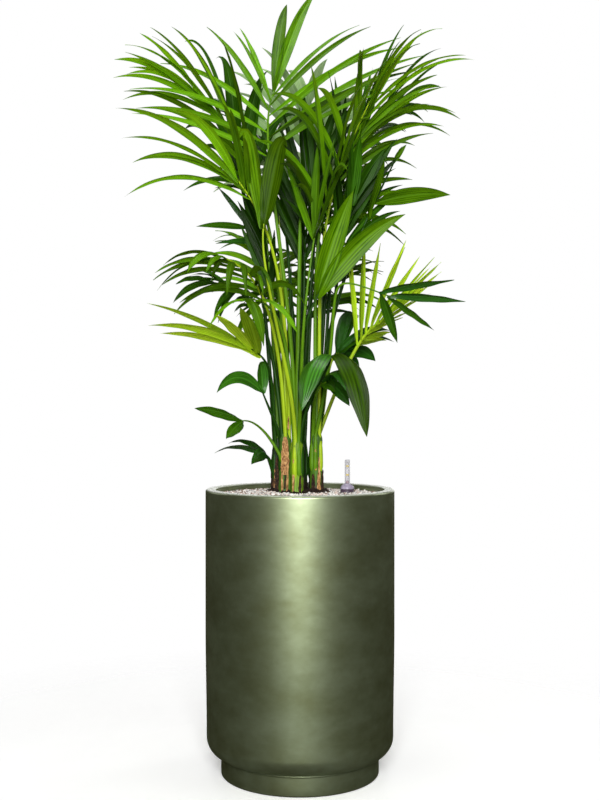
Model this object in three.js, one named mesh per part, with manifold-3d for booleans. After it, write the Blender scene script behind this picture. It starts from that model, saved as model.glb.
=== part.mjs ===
// Kentia palm in a tall round planter.
// Millimetres, +Z up. The origin is the centre of the planter's underside.
import * as THREE from 'three';
import Module from 'manifold-3d';

const wasm = await Module();
wasm.setup();

// ---- planter ----
const POT_RADIUS = 200;
const POT_HEIGHT = 600;
const POT_WAIST_RADIUS = 197.5;      // just above the rounded lower corner
const POT_WAIST_HEIGHT = 84;
const POT_STRAIGHT_FROM = 310;       // the wall is upright above this height
const RIM_WIDTH = 21;
const RIM_DEPTH = 34;
const RIM_EDGE = 4;
const WALL_THICKNESS = 9;
const FLOOR_THICKNESS = 14;
const CORNER_RADIUS = 38;
const PLINTH_RADIUS = 167;
const PLINTH_HEIGHT = 40;
const PLINTH_EDGE = 4;
const POT_SIDES = 48;

// ---- filling ----
const GAP = 0.3;                     // clearance between pieces that touch
const GRAVEL_TOP = 585;
const GRAVEL_DEPTH = 24;
const ROOT_BALL_RADIUS = 84;
const ROOT_BALL_TOP = 590;
const ROOT_BALL_BOTTOM = 430;
const FILL_SIDES = 36;

// ---- water gauge ----
const GAUGE_X = 103;
const GAUGE_Y = 60;
const GAUGE_CAP_RADIUS = 15;
const GAUGE_CAP_HEIGHT = 21;
const GAUGE_TUBE_RADIUS = 5.8;
const GAUGE_TUBE_BORE = 4.6;
const GAUGE_TUBE_HEIGHT = 52;
const GAUGE_FLOAT_RADIUS = 3.2;
const GAUGE_FLOAT_HEIGHT = 6;

// ---- stems: upright, with x and y, radius at the top and height of the top ----
const STEM_FLARE = 1.14;             // foot radius over top radius
const STEM_SIDES = 14;
const STEMS = {
  A: { x: -47, y: 34, radius: 12.5, top: 690 },
  B: { x: -31, y: 2, radius: 13, top: 712 },
  C: { x: -6, y: -20, radius: 12, top: 702 },
  D: { x: 2, y: 50, radius: 13, top: 700 },
  E: { x: 35, y: 0, radius: 13, top: 715 },
  F: { x: 33, y: 48, radius: 12.5, top: 694 },
};

// ---- fronds ----
// stem and seat: the stem that carries the frond, and where round its top the stalk stands
// foot: height where the stalk leaves the stem's side instead of its top
// heading, reach, height: where the rib ends, seen from the stem
// lean, rise: direction and pull of the stalk at its foot; out: heading of that lean
// nod, fall: angle from the vertical and pull at the rib's end; turn: heading of that nod
// bare: share of the rib without leaflets; pairs: leaflet pairs, the last one at the tip
// leaf, wide: length and width of the longest leaflet
// spread: angle between rib and leaflet, first and last pair; fork: the same at the tip pair
// lift: angle of the leaflets above the blade's plane; droop: how far they bow down
// face, roll: heading that the blade looks to, and its turn about the rib
// end, broad: length and width of the tip pair over leaf and wide; skew: longer on one side
// peak: where a leaflet is widest; bend: how late it bows; tone: colour of the leaflets
// seed: first number of the leaflets' chance, the row's place in this list if not told
const FRONDS = [
  {
    name: 'crown_front', stem: 'C', seat: 107, heading: 153, reach: 55, height: 1446, lean: 1.3,
    out: 200, rise: 401, nod: 45, turn: 72, fall: 192, face: 286, roll: -12, bare: 0.792,
    pairs: 7, leaf: 370, wide: 17, spread: [57, 21], fork: 4, lift: 4, droop: 0.48, end: 1.06,
    broad: 1.9, skew: 0.11, seed: 828, tone: 'mid',
  },
  {
    name: 'front_pair', stem: 'C', seat: 237, heading: 238, reach: 127, height: 1139, lean: 0.7,
    out: 210, rise: 141, nod: 9, turn: 330, fall: 95, face: 249, roll: -10, bare: 0.985,
    pairs: 1, leaf: 269, wide: 44, spread: [50, 32], fork: 11, lift: 8, droop: 2.34, end: 0.77,
    broad: 1, skew: -0.05, peak: 0.6, bend: 6, seed: 1, tone: 'young',
  },
  {
    name: 'centre_pair', stem: 'C', seat: 291, heading: 295, reach: 86, height: 1127, lean: 8.8,
    rise: 175, nod: 13, turn: 48, fall: 225, face: 243, roll: -25, bare: 0.985, pairs: 2,
    leaf: 243, wide: 21, spread: [28, 20], fork: 9, lift: -10, droop: 0.15, end: 0.83, broad: 1,
    skew: 0.05, seed: 606, tone: 'mid',
  },
  {
    name: 'mid_pair', stem: 'C', seat: 49, heading: 304, reach: 78, height: 1004, lean: 2.5,
    rise: 140, nod: 29, turn: 2, fall: 103, face: 289, roll: 6, bare: 0.98, pairs: 1, leaf: 250,
    wide: 46, spread: [50, 32], fork: 10, lift: 3, droop: 0.51, end: 0.98, broad: 1, skew: 0.01,
    seed: 270, tone: 'young',
  },
  {
    name: 'left_front', stem: 'B', seat: 350, heading: 230, reach: 149, height: 1234, lean: 1,
    rise: 356, nod: 42, turn: 206, fall: 110, face: 219, roll: 7, bare: 0.93, pairs: 4,
    leaf: 259, wide: 19, spread: [34, 33], fork: 12, lift: 7, droop: 0.91, end: 1.03,
    broad: 1.75, skew: -0.13, seed: 540, tone: 'mid',
  },
  {
    name: 'right_fan', stem: 'E', seat: 109, heading: 334, reach: 102, height: 1348, lean: 0.1,
    rise: 467, nod: 39, turn: 314, fall: 238, face: 320, roll: 5, bare: 0.666, pairs: 8,
    leaf: 322, wide: 21, spread: [50, 13], fork: 20, lift: -11, droop: 0.71, end: 0.76,
    broad: 1.1, skew: -0.19, seed: 739, tone: 'mid',
  },
  {
    name: 'front_hang', stem: 'C', seat: 159, heading: 236, reach: 188, height: 987, lean: 5,
    rise: 210, nod: 96, turn: 243, fall: 170, face: 282, roll: 14, bare: 0.871, pairs: 2,
    leaf: 146, wide: 24, spread: [75, 50], fork: 47, lift: -6, droop: 2.02, end: 0.92, broad: 1,
    skew: 0.24, seed: 775, tone: 'mid',
  },
  {
    name: 'front_low', stem: 'C', seat: 345, heading: 296, reach: 153, height: 875, lean: 4.5,
    rise: 85, nod: 83, turn: 266, fall: 119, face: 292, roll: 2, bare: 0.96, pairs: 1, leaf: 258,
    wide: 56, spread: [44, 30], fork: 30, lift: -10, droop: 4, end: 0.81, broad: 1, skew: 0.15,
    seed: 411, tone: 'mid',
  },
  {
    name: 'right_mid', stem: 'F', seat: 235, heading: 349, reach: 172, height: 1298, lean: 5,
    rise: 325, nod: 36, turn: 49, fall: 165, face: 305, roll: 3, bare: 0.811, pairs: 2,
    leaf: 177, wide: 38, spread: [40, 20], fork: 3, lift: -24, droop: 0.29, end: 0.3, broad: 0.3,
    skew: 0.16, seed: 229, tone: 'mid',
  },
  {
    name: 'right_droop', stem: 'E', seat: 258, heading: 331, reach: 172, height: 1000,
    lean: 15.1, rise: 329, nod: 110, turn: 8, fall: 186, face: 6, roll: -28, bare: 0.96,
    pairs: 2, leaf: 187, wide: 26, spread: [56, 35], fork: 26, lift: 0, droop: 0.09, end: 0.8,
    broad: 0.9, skew: -0.09, bend: 1.2, seed: 655, tone: 'dark',
  },
  {
    name: 'left_back', stem: 'A', seat: 173, heading: 149, reach: 105, height: 1338, lean: 4,
    rise: 320, nod: 14, turn: 171, fall: 196, face: 251, roll: -10, bare: 0.869, pairs: 4,
    leaf: 260, wide: 34, spread: [25, 27], fork: 7, lift: 33, droop: 0.95, end: 1.07, broad: 1.1,
    skew: -0.1, bend: 2.7, seed: 557, tone: 'dark',
  },
  {
    name: 'left_high', stem: 'B', seat: 55, heading: 169, reach: 189, height: 1446, lean: 1.3,
    rise: 450, nod: 50, turn: 147, fall: 195, face: 221, roll: -8, bare: 0.729, pairs: 7,
    leaf: 326, wide: 19, spread: [19, 4], fork: 8, lift: -3, droop: 0.64, end: 0.71, broad: 1.2,
    skew: -0.13, seed: 511, tone: 'mid',
  },
  {
    name: 'left_low', stem: 'A', seat: 221, heading: 238, reach: 122, height: 899, lean: 5.5,
    rise: 154, nod: 70, turn: 216, fall: 77, face: 225, roll: 11, bare: 0.853, pairs: 3,
    leaf: 235, wide: 38, spread: [28, 23], fork: 5, lift: 0, droop: 0.42, end: 1.13, broad: 0.72,
    skew: 0.03, seed: 659, tone: 'lime',
  },
  {
    name: 'right_high', stem: 'E', seat: 321, heading: 330, reach: 126, height: 1405, lean: 0,
    rise: 371, nod: 41, turn: 308, fall: 285, face: 330, roll: -8, bare: 0.616, pairs: 9,
    leaf: 319, wide: 19, spread: [50, 27], fork: 3, lift: 11, droop: 0.87, end: 0.68, broad: 1.1,
    skew: 0.07, seed: 33, tone: 'mid',
  },
  {
    name: 'left_tall', stem: 'B', seat: 118, heading: 183, reach: 40, height: 1135, lean: 1.1,
    rise: 169, nod: 4, fall: 94, face: 262, bare: 0.72, pairs: 4, leaf: 200, wide: 30,
    spread: [16, 8], fork: 6, lift: 4, droop: 0.2, end: 0.8, broad: 1, seed: 30, tone: 'dark',
  },
  {
    name: 'centre_dark', stem: 'D', seat: 282, heading: 338, reach: 27, height: 1261, lean: 2,
    rise: 281, nod: 10, fall: 169, face: 275, bare: 0.68, pairs: 6, leaf: 250, wide: 27,
    spread: [26, 12], fork: 8, lift: 4, droop: 0.3, end: 0.8, broad: 1, seed: 28, tone: 'dark',
  },
  {
    name: 'left_mid', stem: 'A', seat: 107, heading: 140, reach: 89, height: 1169, lean: 3.7,
    rise: 319, nod: 61, turn: 162, fall: 175, face: 234, bare: 0.899, pairs: 2, leaf: 134,
    wide: 15, spread: [44, 26], fork: 24, lift: -5, droop: 0.31, end: 0.94, broad: 1,
    skew: -0.07, seed: 543, tone: 'dark',
  },
  {
    name: 'left_droop', stem: 'B', seat: 270, heading: 227, reach: 194, height: 1077, lean: 4,
    rise: 256, nod: 82, fall: 124, roll: -6, bare: 0.68, pairs: 7, leaf: 205, wide: 21,
    spread: [58, 36], fork: 12, lift: -6, droop: 1.3, end: 0.65, broad: 1.3, seed: 6,
    tone: 'mid',
  },
  {
    name: 'right_back', stem: 'F', seat: 4, heading: 24, reach: 184, height: 1434, lean: 5.4,
    rise: 379, nod: 50, turn: 23, fall: 208, face: 335, roll: 8, bare: 0.64, pairs: 9, leaf: 285,
    wide: 19, spread: [38, 18], fork: 12, lift: 6, droop: 0.7, end: 0.65, broad: 1.3, skew: 0,
    seed: 9, tone: 'dark',
  },
  {
    name: 'right_hang', stem: 'E', seat: 44, heading: 332, reach: 85, height: 1200, lean: 7.9,
    rise: 260, nod: 20, fall: 104, face: 300, bare: 0.78, pairs: 4, leaf: 215, wide: 27,
    spread: [26, 14], fork: 12, lift: -4, droop: 0.5, end: 0.65, broad: 1.3, seed: 11,
    tone: 'dark',
  },
  {
    name: 'right_lime', stem: 'F', seat: 283, heading: 7, reach: 157, height: 975, lean: 19.8,
    rise: 297, nod: 51, turn: 306, fall: 60, face: 318, roll: 4, bare: 0.716, pairs: 7,
    leaf: 198, wide: 17, spread: [51, 13], fork: 6, lift: 10, droop: 0.12, end: 0.85, broad: 1.3,
    skew: -0.1, seed: 250, tone: 'lime',
  },
  {
    name: 'right_low', stem: 'F', seat: 61, heading: 42, reach: 82, height: 893, lean: 22,
    rise: 80, nod: 99, turn: 40, fall: 54, face: 289, roll: 42, bare: 0.913, pairs: 4, leaf: 179,
    wide: 28, spread: [8, 55], fork: 9, lift: 45, droop: 0.87, end: 0.87, broad: 1.3,
    skew: -0.22, seed: 823, tone: 'dark',
  },
  {
    name: 'back_centre', stem: 'D', seat: 66, heading: 83, reach: 101, height: 1449, lean: 2,
    rise: 378, nod: 16, fall: 227, face: 90, bare: 0.7, pairs: 7, leaf: 255, wide: 26,
    spread: [46, 26], fork: 12, lift: 6, droop: 0.95, end: 0.55, broad: 1.3, seed: 16,
    tone: 'pale',
  },
  {
    name: 'back_right', stem: 'D', seat: 354, heading: 55, reach: 158, height: 1433, lean: 5,
    rise: 375, nod: 34, fall: 225, face: 50, bare: 0.68, pairs: 8, leaf: 260, wide: 24,
    spread: [46, 26], fork: 12, lift: 6, droop: 1, end: 0.65, broad: 1.3, seed: 17, tone: 'pale',
  },
  {
    name: 'back_left', stem: 'D', seat: 210, heading: 123, reach: 154, height: 1383, lean: 5,
    rise: 350, nod: 34, fall: 210, face: 130, bare: 0.68, pairs: 8, leaf: 250, wide: 22,
    spread: [46, 26], fork: 12, lift: 6, droop: 1, end: 0.65, broad: 1.3, seed: 18, tone: 'dark',
  },
  {
    name: 'back_low_left', stem: 'A', seat: 24, heading: 102, reach: 200, height: 1148,
    lean: 10.3, rise: 243, nod: 60, fall: 93, face: 110, bare: 0.66, pairs: 6, leaf: 165,
    wide: 20, spread: [48, 30], fork: 12, lift: 0, droop: 0.9, end: 0.65, broad: 1.3, seed: 19,
    tone: 'mid',
  },
  {
    name: 'back_low_right', stem: 'F', seat: 174, heading: 76, reach: 198, height: 1136,
    lean: 4.2, rise: 254, nod: 60, fall: 131, face: 70, bare: 0.66, pairs: 6, leaf: 160,
    wide: 20, spread: [48, 30], fork: 12, lift: 0, droop: 0.9, end: 0.65, broad: 1.3, seed: 20,
    tone: 'mid',
  },
  {
    name: 'back_droop', stem: 'D', seat: 138, heading: 90, reach: 220, height: 1069, lean: 6,
    rise: 215, nod: 86, fall: 120, bare: 0.62, pairs: 7, leaf: 190, wide: 21, spread: [56, 34],
    fork: 12, lift: -4, droop: 1.1, end: 0.65, broad: 1.3, seed: 21, tone: 'dark',
  },
  {
    name: 'young_left', stem: 'B', seat: 228, foot: 668, heading: 222, reach: 119, height: 745,
    lean: 24, rise: 12, nod: 94, turn: 246, fall: 88, face: 164, roll: -42, bare: 0.958,
    pairs: 1, leaf: 144, wide: 25, spread: [37, 36], fork: 18, lift: 5, droop: 0.18, end: 1.05,
    broad: 1, skew: -0.02, seed: 152, tone: 'dark',
  },
  {
    name: 'young_low', stem: 'A', seat: 215, foot: 639, heading: 231, reach: 40, height: 672,
    lean: 24, rise: 31, nod: 49, turn: 240, fall: 11, face: 275, roll: -49, bare: 0.851,
    pairs: 2, leaf: 119, wide: 25, spread: [11, 11], fork: 25, lift: -31, droop: 0.86, end: 1.04,
    broad: 1, skew: -0.19, seed: 642, tone: 'dark',
  },
  {
    name: 'young_mid', stem: 'A', seat: 320, heading: 238, reach: 62, height: 807, lean: 12.8,
    rise: 39, nod: 28, turn: 225, fall: 54, face: 281, roll: 30, bare: 0.97, pairs: 1, leaf: 112,
    wide: 27, spread: [50, 32], fork: 21, lift: -1, droop: 1.56, end: 1.03, broad: 1,
    skew: -0.22, seed: 147, tone: 'mid',
  },
  {
    name: 'left_droop_back', stem: 'B', seat: 203, heading: 183, reach: 152, height: 1037,
    lean: 4.6, rise: 233, nod: 89, turn: 235, fall: 162, face: 211, roll: -36, bare: 0.643,
    pairs: 5, leaf: 154, wide: 18, spread: [64, 21], fork: 19, lift: 0, droop: 0.93, end: 0.89,
    broad: 1.3, skew: 0.17, seed: 762, tone: 'dark',
  },
  {
    name: 'right_low_front', stem: 'E', seat: 211, heading: 285, reach: 109, height: 825,
    lean: 7.9, rise: 61, nod: 92, turn: 342, fall: 40, face: 263, roll: -53, bare: 0.869,
    pairs: 2, leaf: 123, wide: 27, spread: [9, 40], fork: 35, lift: -40, droop: 0.97, end: 1.08,
    broad: 1, skew: -0.4, seed: 682, tone: 'dark',
  },
  {
    name: 'right_tall', stem: 'F', seat: 125, heading: 28, reach: 89, height: 1319, lean: 8,
    rise: 289, nod: 24, fall: 193, face: 300, bare: 0.64, pairs: 7, leaf: 265, wide: 24,
    spread: [30, 12], fork: 8, lift: 4, droop: 0.45, end: 0.8, broad: 1.1, seed: 41,
    tone: 'dark',
  },
];

const STALK_FOOT = 2.8;              // half width of the stalk at its seat
const STALK_RADIUS = 4.3;             // half width of the stalk once it is free
const STALK_TIP = 1.6;               // half width at the rib's end
const RIB_SPANS = 16;                // equal spans of the rib
const RIB_CUT = 2;                   // spans from section to section of the bare stalk
const LEAF_STEPS = 16;               // steps of a leaflet's curve
const LEAF_CUTS = [0, 2, 6, 11, 16]; // steps where the leaflet's solid has a section
const CURL_CUTS = [0, 3, 11, 14, 16]; // the same where only the tip bends over
const LEAF_THICKNESS = 0.0115;       // thickness over length
const LEAF_LEAST = 2.2;
const LEAF_KEEP = 0.45;              // room kept round a leaflet
const LEAF_SUNK = 6;                 // how far back along the rib a leaflet is rooted
const WIDEST_AT = 0.4;               // share of a leaflet's length, unless its frond has a peak
const BEND = 1.4;                    // how late a leaflet bows, unless its frond has a bend

// Small changes that a leaflet tries, in turn, until it is clear of its neighbours:
// added spread, added lift, droop factor, length factor.
const TWEAKS = [
  [0, 0, 1, 1], [5, 0, 1, 1], [-5, 0, 1, 1], [0, 8, 1, 1], [0, -8, 1, 1],
  [8, 8, 1, 0.96], [-8, -8, 1, 0.96], [8, -8, 1, 0.96], [-8, 8, 1, 0.96],
  [0, 16, 0.9, 0.92], [0, -16, 1.1, 0.92], [12, 0, 1.1, 0.9], [-12, 0, 0.9, 0.9],
  [0, 0, 1.25, 0.85], [0, 12, 0.7, 0.85], [10, -14, 1.1, 0.78], [-10, 14, 0.9, 0.78],
  [0, 24, 1, 0.7], [0, -24, 1, 0.7], [0, 0, 1, 0.6],
];

const COLOURS = {
  dark: 0x2f5d23,
  mid: 0x3f7a2a,
  young: 0x6fa234,
  lime: 0x86a83c,
  pale: 0x7f9f6c,
};

// ---- small helpers ----
const radians = THREE.MathUtils.degToRad;

function chance(a, b, c, d) {
  const x = Math.sin(a * 12.9898 + b * 78.233 + c * 37.719 + d * 4.581) * 43758.5453;
  return x - Math.floor(x);
}

function aim(lean, heading) {
  const a = radians(lean);
  const h = radians(heading);
  return new THREE.Vector3(Math.sin(a) * Math.cos(h), Math.sin(a) * Math.sin(h), Math.cos(a));
}

function geometryOf(points, faces) {
  const geometry = new THREE.BufferGeometry();
  geometry.setAttribute('position', new THREE.Float32BufferAttribute(points, 3));
  geometry.setIndex(faces);
  return geometry;
}

function solidOf(points, faces) {
  return new wasm.Manifold(new wasm.Mesh({
    numProp: 3,
    vertProperties: new Float32Array(points),
    triVerts: new Uint32Array(faces),
  }));
}

function geometryOfSolid(solid) {
  const mesh = solid.getMesh();
  return geometryOf(Array.from(mesh.vertProperties), Array.from(mesh.triVerts));
}

function material(colour, roughness, metalness) {
  return new THREE.MeshStandardMaterial({ color: colour, roughness, metalness });
}

const model = new THREE.Group();
model.name = 'kentia_palm_in_planter';

function add(name, geometry, look) {
  geometry.computeVertexNormals();
  const mesh = new THREE.Mesh(geometry, look);
  mesh.name = name;
  model.add(mesh);
  return mesh;
}

// A lathe about +Z from [radius, height] pairs.
function turned(profile, sides) {
  const points = profile.map(([r, z]) => new THREE.Vector2(r, z));
  const geometry = new THREE.LatheGeometry(points, sides);
  geometry.rotateX(Math.PI / 2);
  return geometry;
}

function arc(cx, cz, radius, from, to, steps) {
  const out = [];
  for (let i = 0; i <= steps; i += 1) {
    const a = radians(from + (to - from) * i / steps);
    out.push([cx + radius * Math.cos(a), cz + radius * Math.sin(a)]);
  }
  return out;
}

// ---- planter, filling and gauge ----
function planterGeometry() {
  const inner = POT_RADIUS - RIM_WIDTH;
  const wall = POT_WAIST_RADIUS - WALL_THICKNESS;
  const cornerZ = PLINTH_HEIGHT + 2 + CORNER_RADIUS;
  const profile = [
    [0, 0],
    [PLINTH_RADIUS - PLINTH_EDGE, 0],
    [PLINTH_RADIUS, PLINTH_EDGE],
    [PLINTH_RADIUS, PLINTH_HEIGHT],
    ...arc(POT_WAIST_RADIUS - CORNER_RADIUS, cornerZ, CORNER_RADIUS, -84, 0, 5),
    [POT_RADIUS, POT_STRAIGHT_FROM],
    ...arc(POT_RADIUS - RIM_EDGE, POT_HEIGHT - RIM_EDGE, RIM_EDGE, 0, 90, 2),
    [inner + 1.5, POT_HEIGHT],
    [inner, POT_HEIGHT - 1.5],
    [inner, POT_HEIGHT - RIM_DEPTH],
    [wall, POT_HEIGHT - RIM_DEPTH - 8],
    [wall, cornerZ],
    [wall - CORNER_RADIUS + WALL_THICKNESS, PLINTH_HEIGHT + FLOOR_THICKNESS],
    [0, PLINTH_HEIGHT + FLOOR_THICKNESS],
  ];
  return turned(profile, POT_SIDES);
}

const lacquer = material(0x5c6b48, 0.42, 0.6);
const peat = material(0x3b2a1d, 0.95, 0);
const pebble = material(0xb9aca4, 0.8, 0);

add('planter', planterGeometry(), lacquer);

const fillRadius = POT_WAIST_RADIUS - WALL_THICKNESS - GAP;
const fillFloor = PLINTH_HEIGHT + FLOOR_THICKNESS + GAP;
const gravelBottom = GRAVEL_TOP - GRAVEL_DEPTH;
const gravelRadius = POT_RADIUS - RIM_WIDTH - GAP;
const fillTop = POT_HEIGHT - RIM_DEPTH - 12;
const pit = ROOT_BALL_RADIUS + 0.8;

add('growing_medium', turned([
  [0, fillFloor],
  [fillRadius - CORNER_RADIUS, fillFloor],
  [fillRadius - 1, PLINTH_HEIGHT + CORNER_RADIUS + 6],
  [fillRadius - 1, fillTop - 8],
  [gravelRadius - 4, fillTop],
  [pit, fillTop],
  [pit - 12, ROOT_BALL_BOTTOM - GAP],
  [0, ROOT_BALL_BOTTOM - GAP],
], FILL_SIDES), peat);

add('gravel_bed', turned([
  [pit, fillTop + GAP],
  [gravelRadius - 5, fillTop + GAP],
  [gravelRadius - 0.5, gravelBottom + 6],
  [gravelRadius - 0.5, GRAVEL_TOP - 2],
  [gravelRadius - 4, GRAVEL_TOP],
  [pit + 3, GRAVEL_TOP],
  [pit, GRAVEL_TOP - 3],
  [pit, fillTop + GAP],
], FILL_SIDES), pebble);

add('root_ball', turned([
  [0, ROOT_BALL_BOTTOM],
  [ROOT_BALL_RADIUS - 13, ROOT_BALL_BOTTOM],
  [ROOT_BALL_RADIUS, fillTop - 2],
  [ROOT_BALL_RADIUS, GRAVEL_TOP - 3],
  [ROOT_BALL_RADIUS - 9, ROOT_BALL_TOP],
  [0, ROOT_BALL_TOP],
], 28), peat);

const gauge = new THREE.Vector3(GAUGE_X, GAUGE_Y, GRAVEL_TOP + GAP);
const gaugeCap = turned([
  [0, 0],
  [GAUGE_CAP_RADIUS, 0],
  [GAUGE_CAP_RADIUS, 7],
  ...arc(GAUGE_CAP_RADIUS - 9, GAUGE_CAP_HEIGHT - 9.6, 9, 0, 80, 3),
  [0, GAUGE_CAP_HEIGHT],
], 20);
gaugeCap.translate(gauge.x, gauge.y, gauge.z);
add('gauge_cap', gaugeCap, material(0x6f6673, 0.45, 0));

const tubeBottom = GAUGE_CAP_HEIGHT + GAP;
const gaugeTube = turned([
  [GAUGE_TUBE_BORE, tubeBottom],
  [GAUGE_TUBE_RADIUS, tubeBottom],
  [GAUGE_TUBE_RADIUS, tubeBottom + GAUGE_TUBE_HEIGHT - 1],
  [GAUGE_TUBE_RADIUS - 1, tubeBottom + GAUGE_TUBE_HEIGHT],
  [0, tubeBottom + GAUGE_TUBE_HEIGHT],
  [0, tubeBottom + GAUGE_TUBE_HEIGHT - 2],
  [GAUGE_TUBE_BORE, tubeBottom + GAUGE_TUBE_HEIGHT - 2],
  [GAUGE_TUBE_BORE, tubeBottom],
], 16);
gaugeTube.translate(gauge.x, gauge.y, gauge.z);
add('gauge_tube', gaugeTube, material(0xd9dde0, 0.15, 0));

const gaugeFloat = turned([
  [0, 0],
  [GAUGE_FLOAT_RADIUS, 0],
  [GAUGE_FLOAT_RADIUS, GAUGE_FLOAT_HEIGHT],
  [0, GAUGE_FLOAT_HEIGHT],
], 12);
gaugeFloat.translate(gauge.x, gauge.y, gauge.z + tubeBottom);
add('gauge_float', gaugeFloat, material(0xc03a3a, 0.5, 0));

// A closed skin over rings of equal count; a ring of one point closes to that point.
function skin(rings) {
  const points = [];
  const starts = [];
  for (const ring of rings) {
    starts.push(points.length / 3);
    for (const p of ring) {
      points.push(p.x, p.y, p.z);
    }
  }
  const faces = [];
  for (let k = 0; k + 1 < rings.length; k += 1) {
    const low = rings[k].length;
    const high = rings[k + 1].length;
    const sides = Math.max(low, high);
    for (let i = 0; i < sides; i += 1) {
      const j = (i + 1) % sides;
      const a = starts[k] + (low > 1 ? i : 0);
      const b = starts[k] + (low > 1 ? j : 0);
      const c = starts[k + 1] + (high > 1 ? j : 0);
      const d = starts[k + 1] + (high > 1 ? i : 0);
      if (low > 1) {
        faces.push(a, b, high > 1 ? c : d);
      }
      if (high > 1) {
        faces.push(a, c, d);
      }
    }
  }
  const caps = [[0, true], [rings.length - 1, false]];
  for (const [k, flip] of caps) {
    for (let i = 1; i + 1 < rings[k].length; i += 1) {
      const [a, b, c] = [starts[k], starts[k] + i, starts[k] + i + 1];
      faces.push(a, flip ? c : b, flip ? b : c);
    }
  }
  return { points, faces };
}

// ---- stems ----
const bark = material(0x6b5a35, 0.85, 0);
const STEM_FOOT = ROOT_BALL_TOP + GAP;
const STEM_PROFILE = [[STEM_FLARE, 0], [1.1, 0.12], [1.03, 0.4], [1, 1]];

function stemRadius(stem, height) {
  const share = (height - STEM_FOOT) / (stem.top - STEM_FOOT);
  let k = 0;
  while (k < STEM_PROFILE.length - 2 && STEM_PROFILE[k + 1][1] < share) {
    k += 1;
  }
  const [wide, from] = STEM_PROFILE[k];
  const [next, to] = STEM_PROFILE[k + 1];
  return stem.radius * (wide + (next - wide) * (share - from) / (to - from));
}

function stemSkin(stem) {
  const rings = STEM_PROFILE.map(([wide, share]) => {
    const ring = [];
    for (let i = 0; i < STEM_SIDES; i += 1) {
      const a = 2 * Math.PI * i / STEM_SIDES;
      ring.push(new THREE.Vector3(
        stem.x + stem.radius * wide * Math.cos(a),
        stem.y + stem.radius * wide * Math.sin(a),
        STEM_FOOT + (stem.top - STEM_FOOT) * share,
      ));
    }
    return ring;
  });
  return skin(rings);
}

// ---- the rib of a frond ----
function ribCurve(frond) {
  const stem = STEMS[frond.stem];
  const onSide = frond.foot !== undefined;
  const ring = onSide ? stemRadius(stem, frond.foot) + STALK_FOOT * 0.7 + GAP : stem.radius - 4.6;
  const seat = radians(frond.seat);
  const heading = radians(frond.heading);
  const foot = new THREE.Vector3(
    stem.x + ring * Math.cos(seat),
    stem.y + ring * Math.sin(seat),
    onSide ? frond.foot : stem.top + GAP + STALK_FOOT * Math.sin(radians(frond.lean)),
  );
  const tip = new THREE.Vector3(
    stem.x + frond.reach * Math.cos(heading),
    stem.y + frond.reach * Math.sin(heading),
    frond.height,
  );
  const first = aim(frond.lean, frond.out ?? frond.heading).multiplyScalar(frond.rise).add(foot);
  const last = aim(frond.nod, frond.turn ?? frond.heading).multiplyScalar(-frond.fall).add(tip);
  const curve = new THREE.CubicBezierCurve3(foot, first, last, tip);
  return { points: curve.getSpacedPoints(RIB_SPANS), length: curve.getLength() };
}

// The point and direction at a share of the rib's length.
function alongRib(points, share) {
  const reached = THREE.MathUtils.clamp(share, 0, 1) * RIB_SPANS;
  const i = Math.min(Math.floor(reached), RIB_SPANS - 1);
  const point = points[i].clone().lerp(points[i + 1], reached - i);
  const from = points[Math.max(i - 1, 0)];
  const to = points[Math.min(i + 2, RIB_SPANS)];
  return { point, direction: to.clone().sub(from).normalize() };
}

function ribRadius(share) {
  const grow = Math.min(share / 0.1, 1);
  const fade = THREE.MathUtils.clamp((share - 0.3) / 0.7, 0, 1);
  return STALK_FOOT + (STALK_RADIUS - STALK_FOOT) * grow - (STALK_RADIUS - STALK_TIP) * fade;
}

// The rib's solid is three-sided, its back ridge down.
function ribSkin(frond, curve) {
  const face = radians(frond.face ?? frond.heading);
  const flat = new THREE.Vector3(-Math.sin(face), Math.cos(face), 0);
  const rings = [];
  for (let k = 0; k <= RIB_SPANS; k += 1) {
    const share = k / RIB_SPANS;
    if (k % RIB_CUT > 0 && share < frond.bare - 0.12) {
      continue;
    }
    const { point, direction } = alongRib(curve.points, share);
    const side = flat.clone().addScaledVector(direction, -flat.dot(direction)).normalize();
    const upper = direction.clone().cross(side);
    const radius = ribRadius(share);
    const ring = [];
    for (const turn of [30, 150, 270]) {
      const a = radians(turn);
      ring.push(point.clone()
        .addScaledVector(side, radius * Math.cos(a))
        .addScaledVector(upper, radius * Math.sin(a)));
    }
    rings.push(ring);
  }
  return skin(rings);
}

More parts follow.
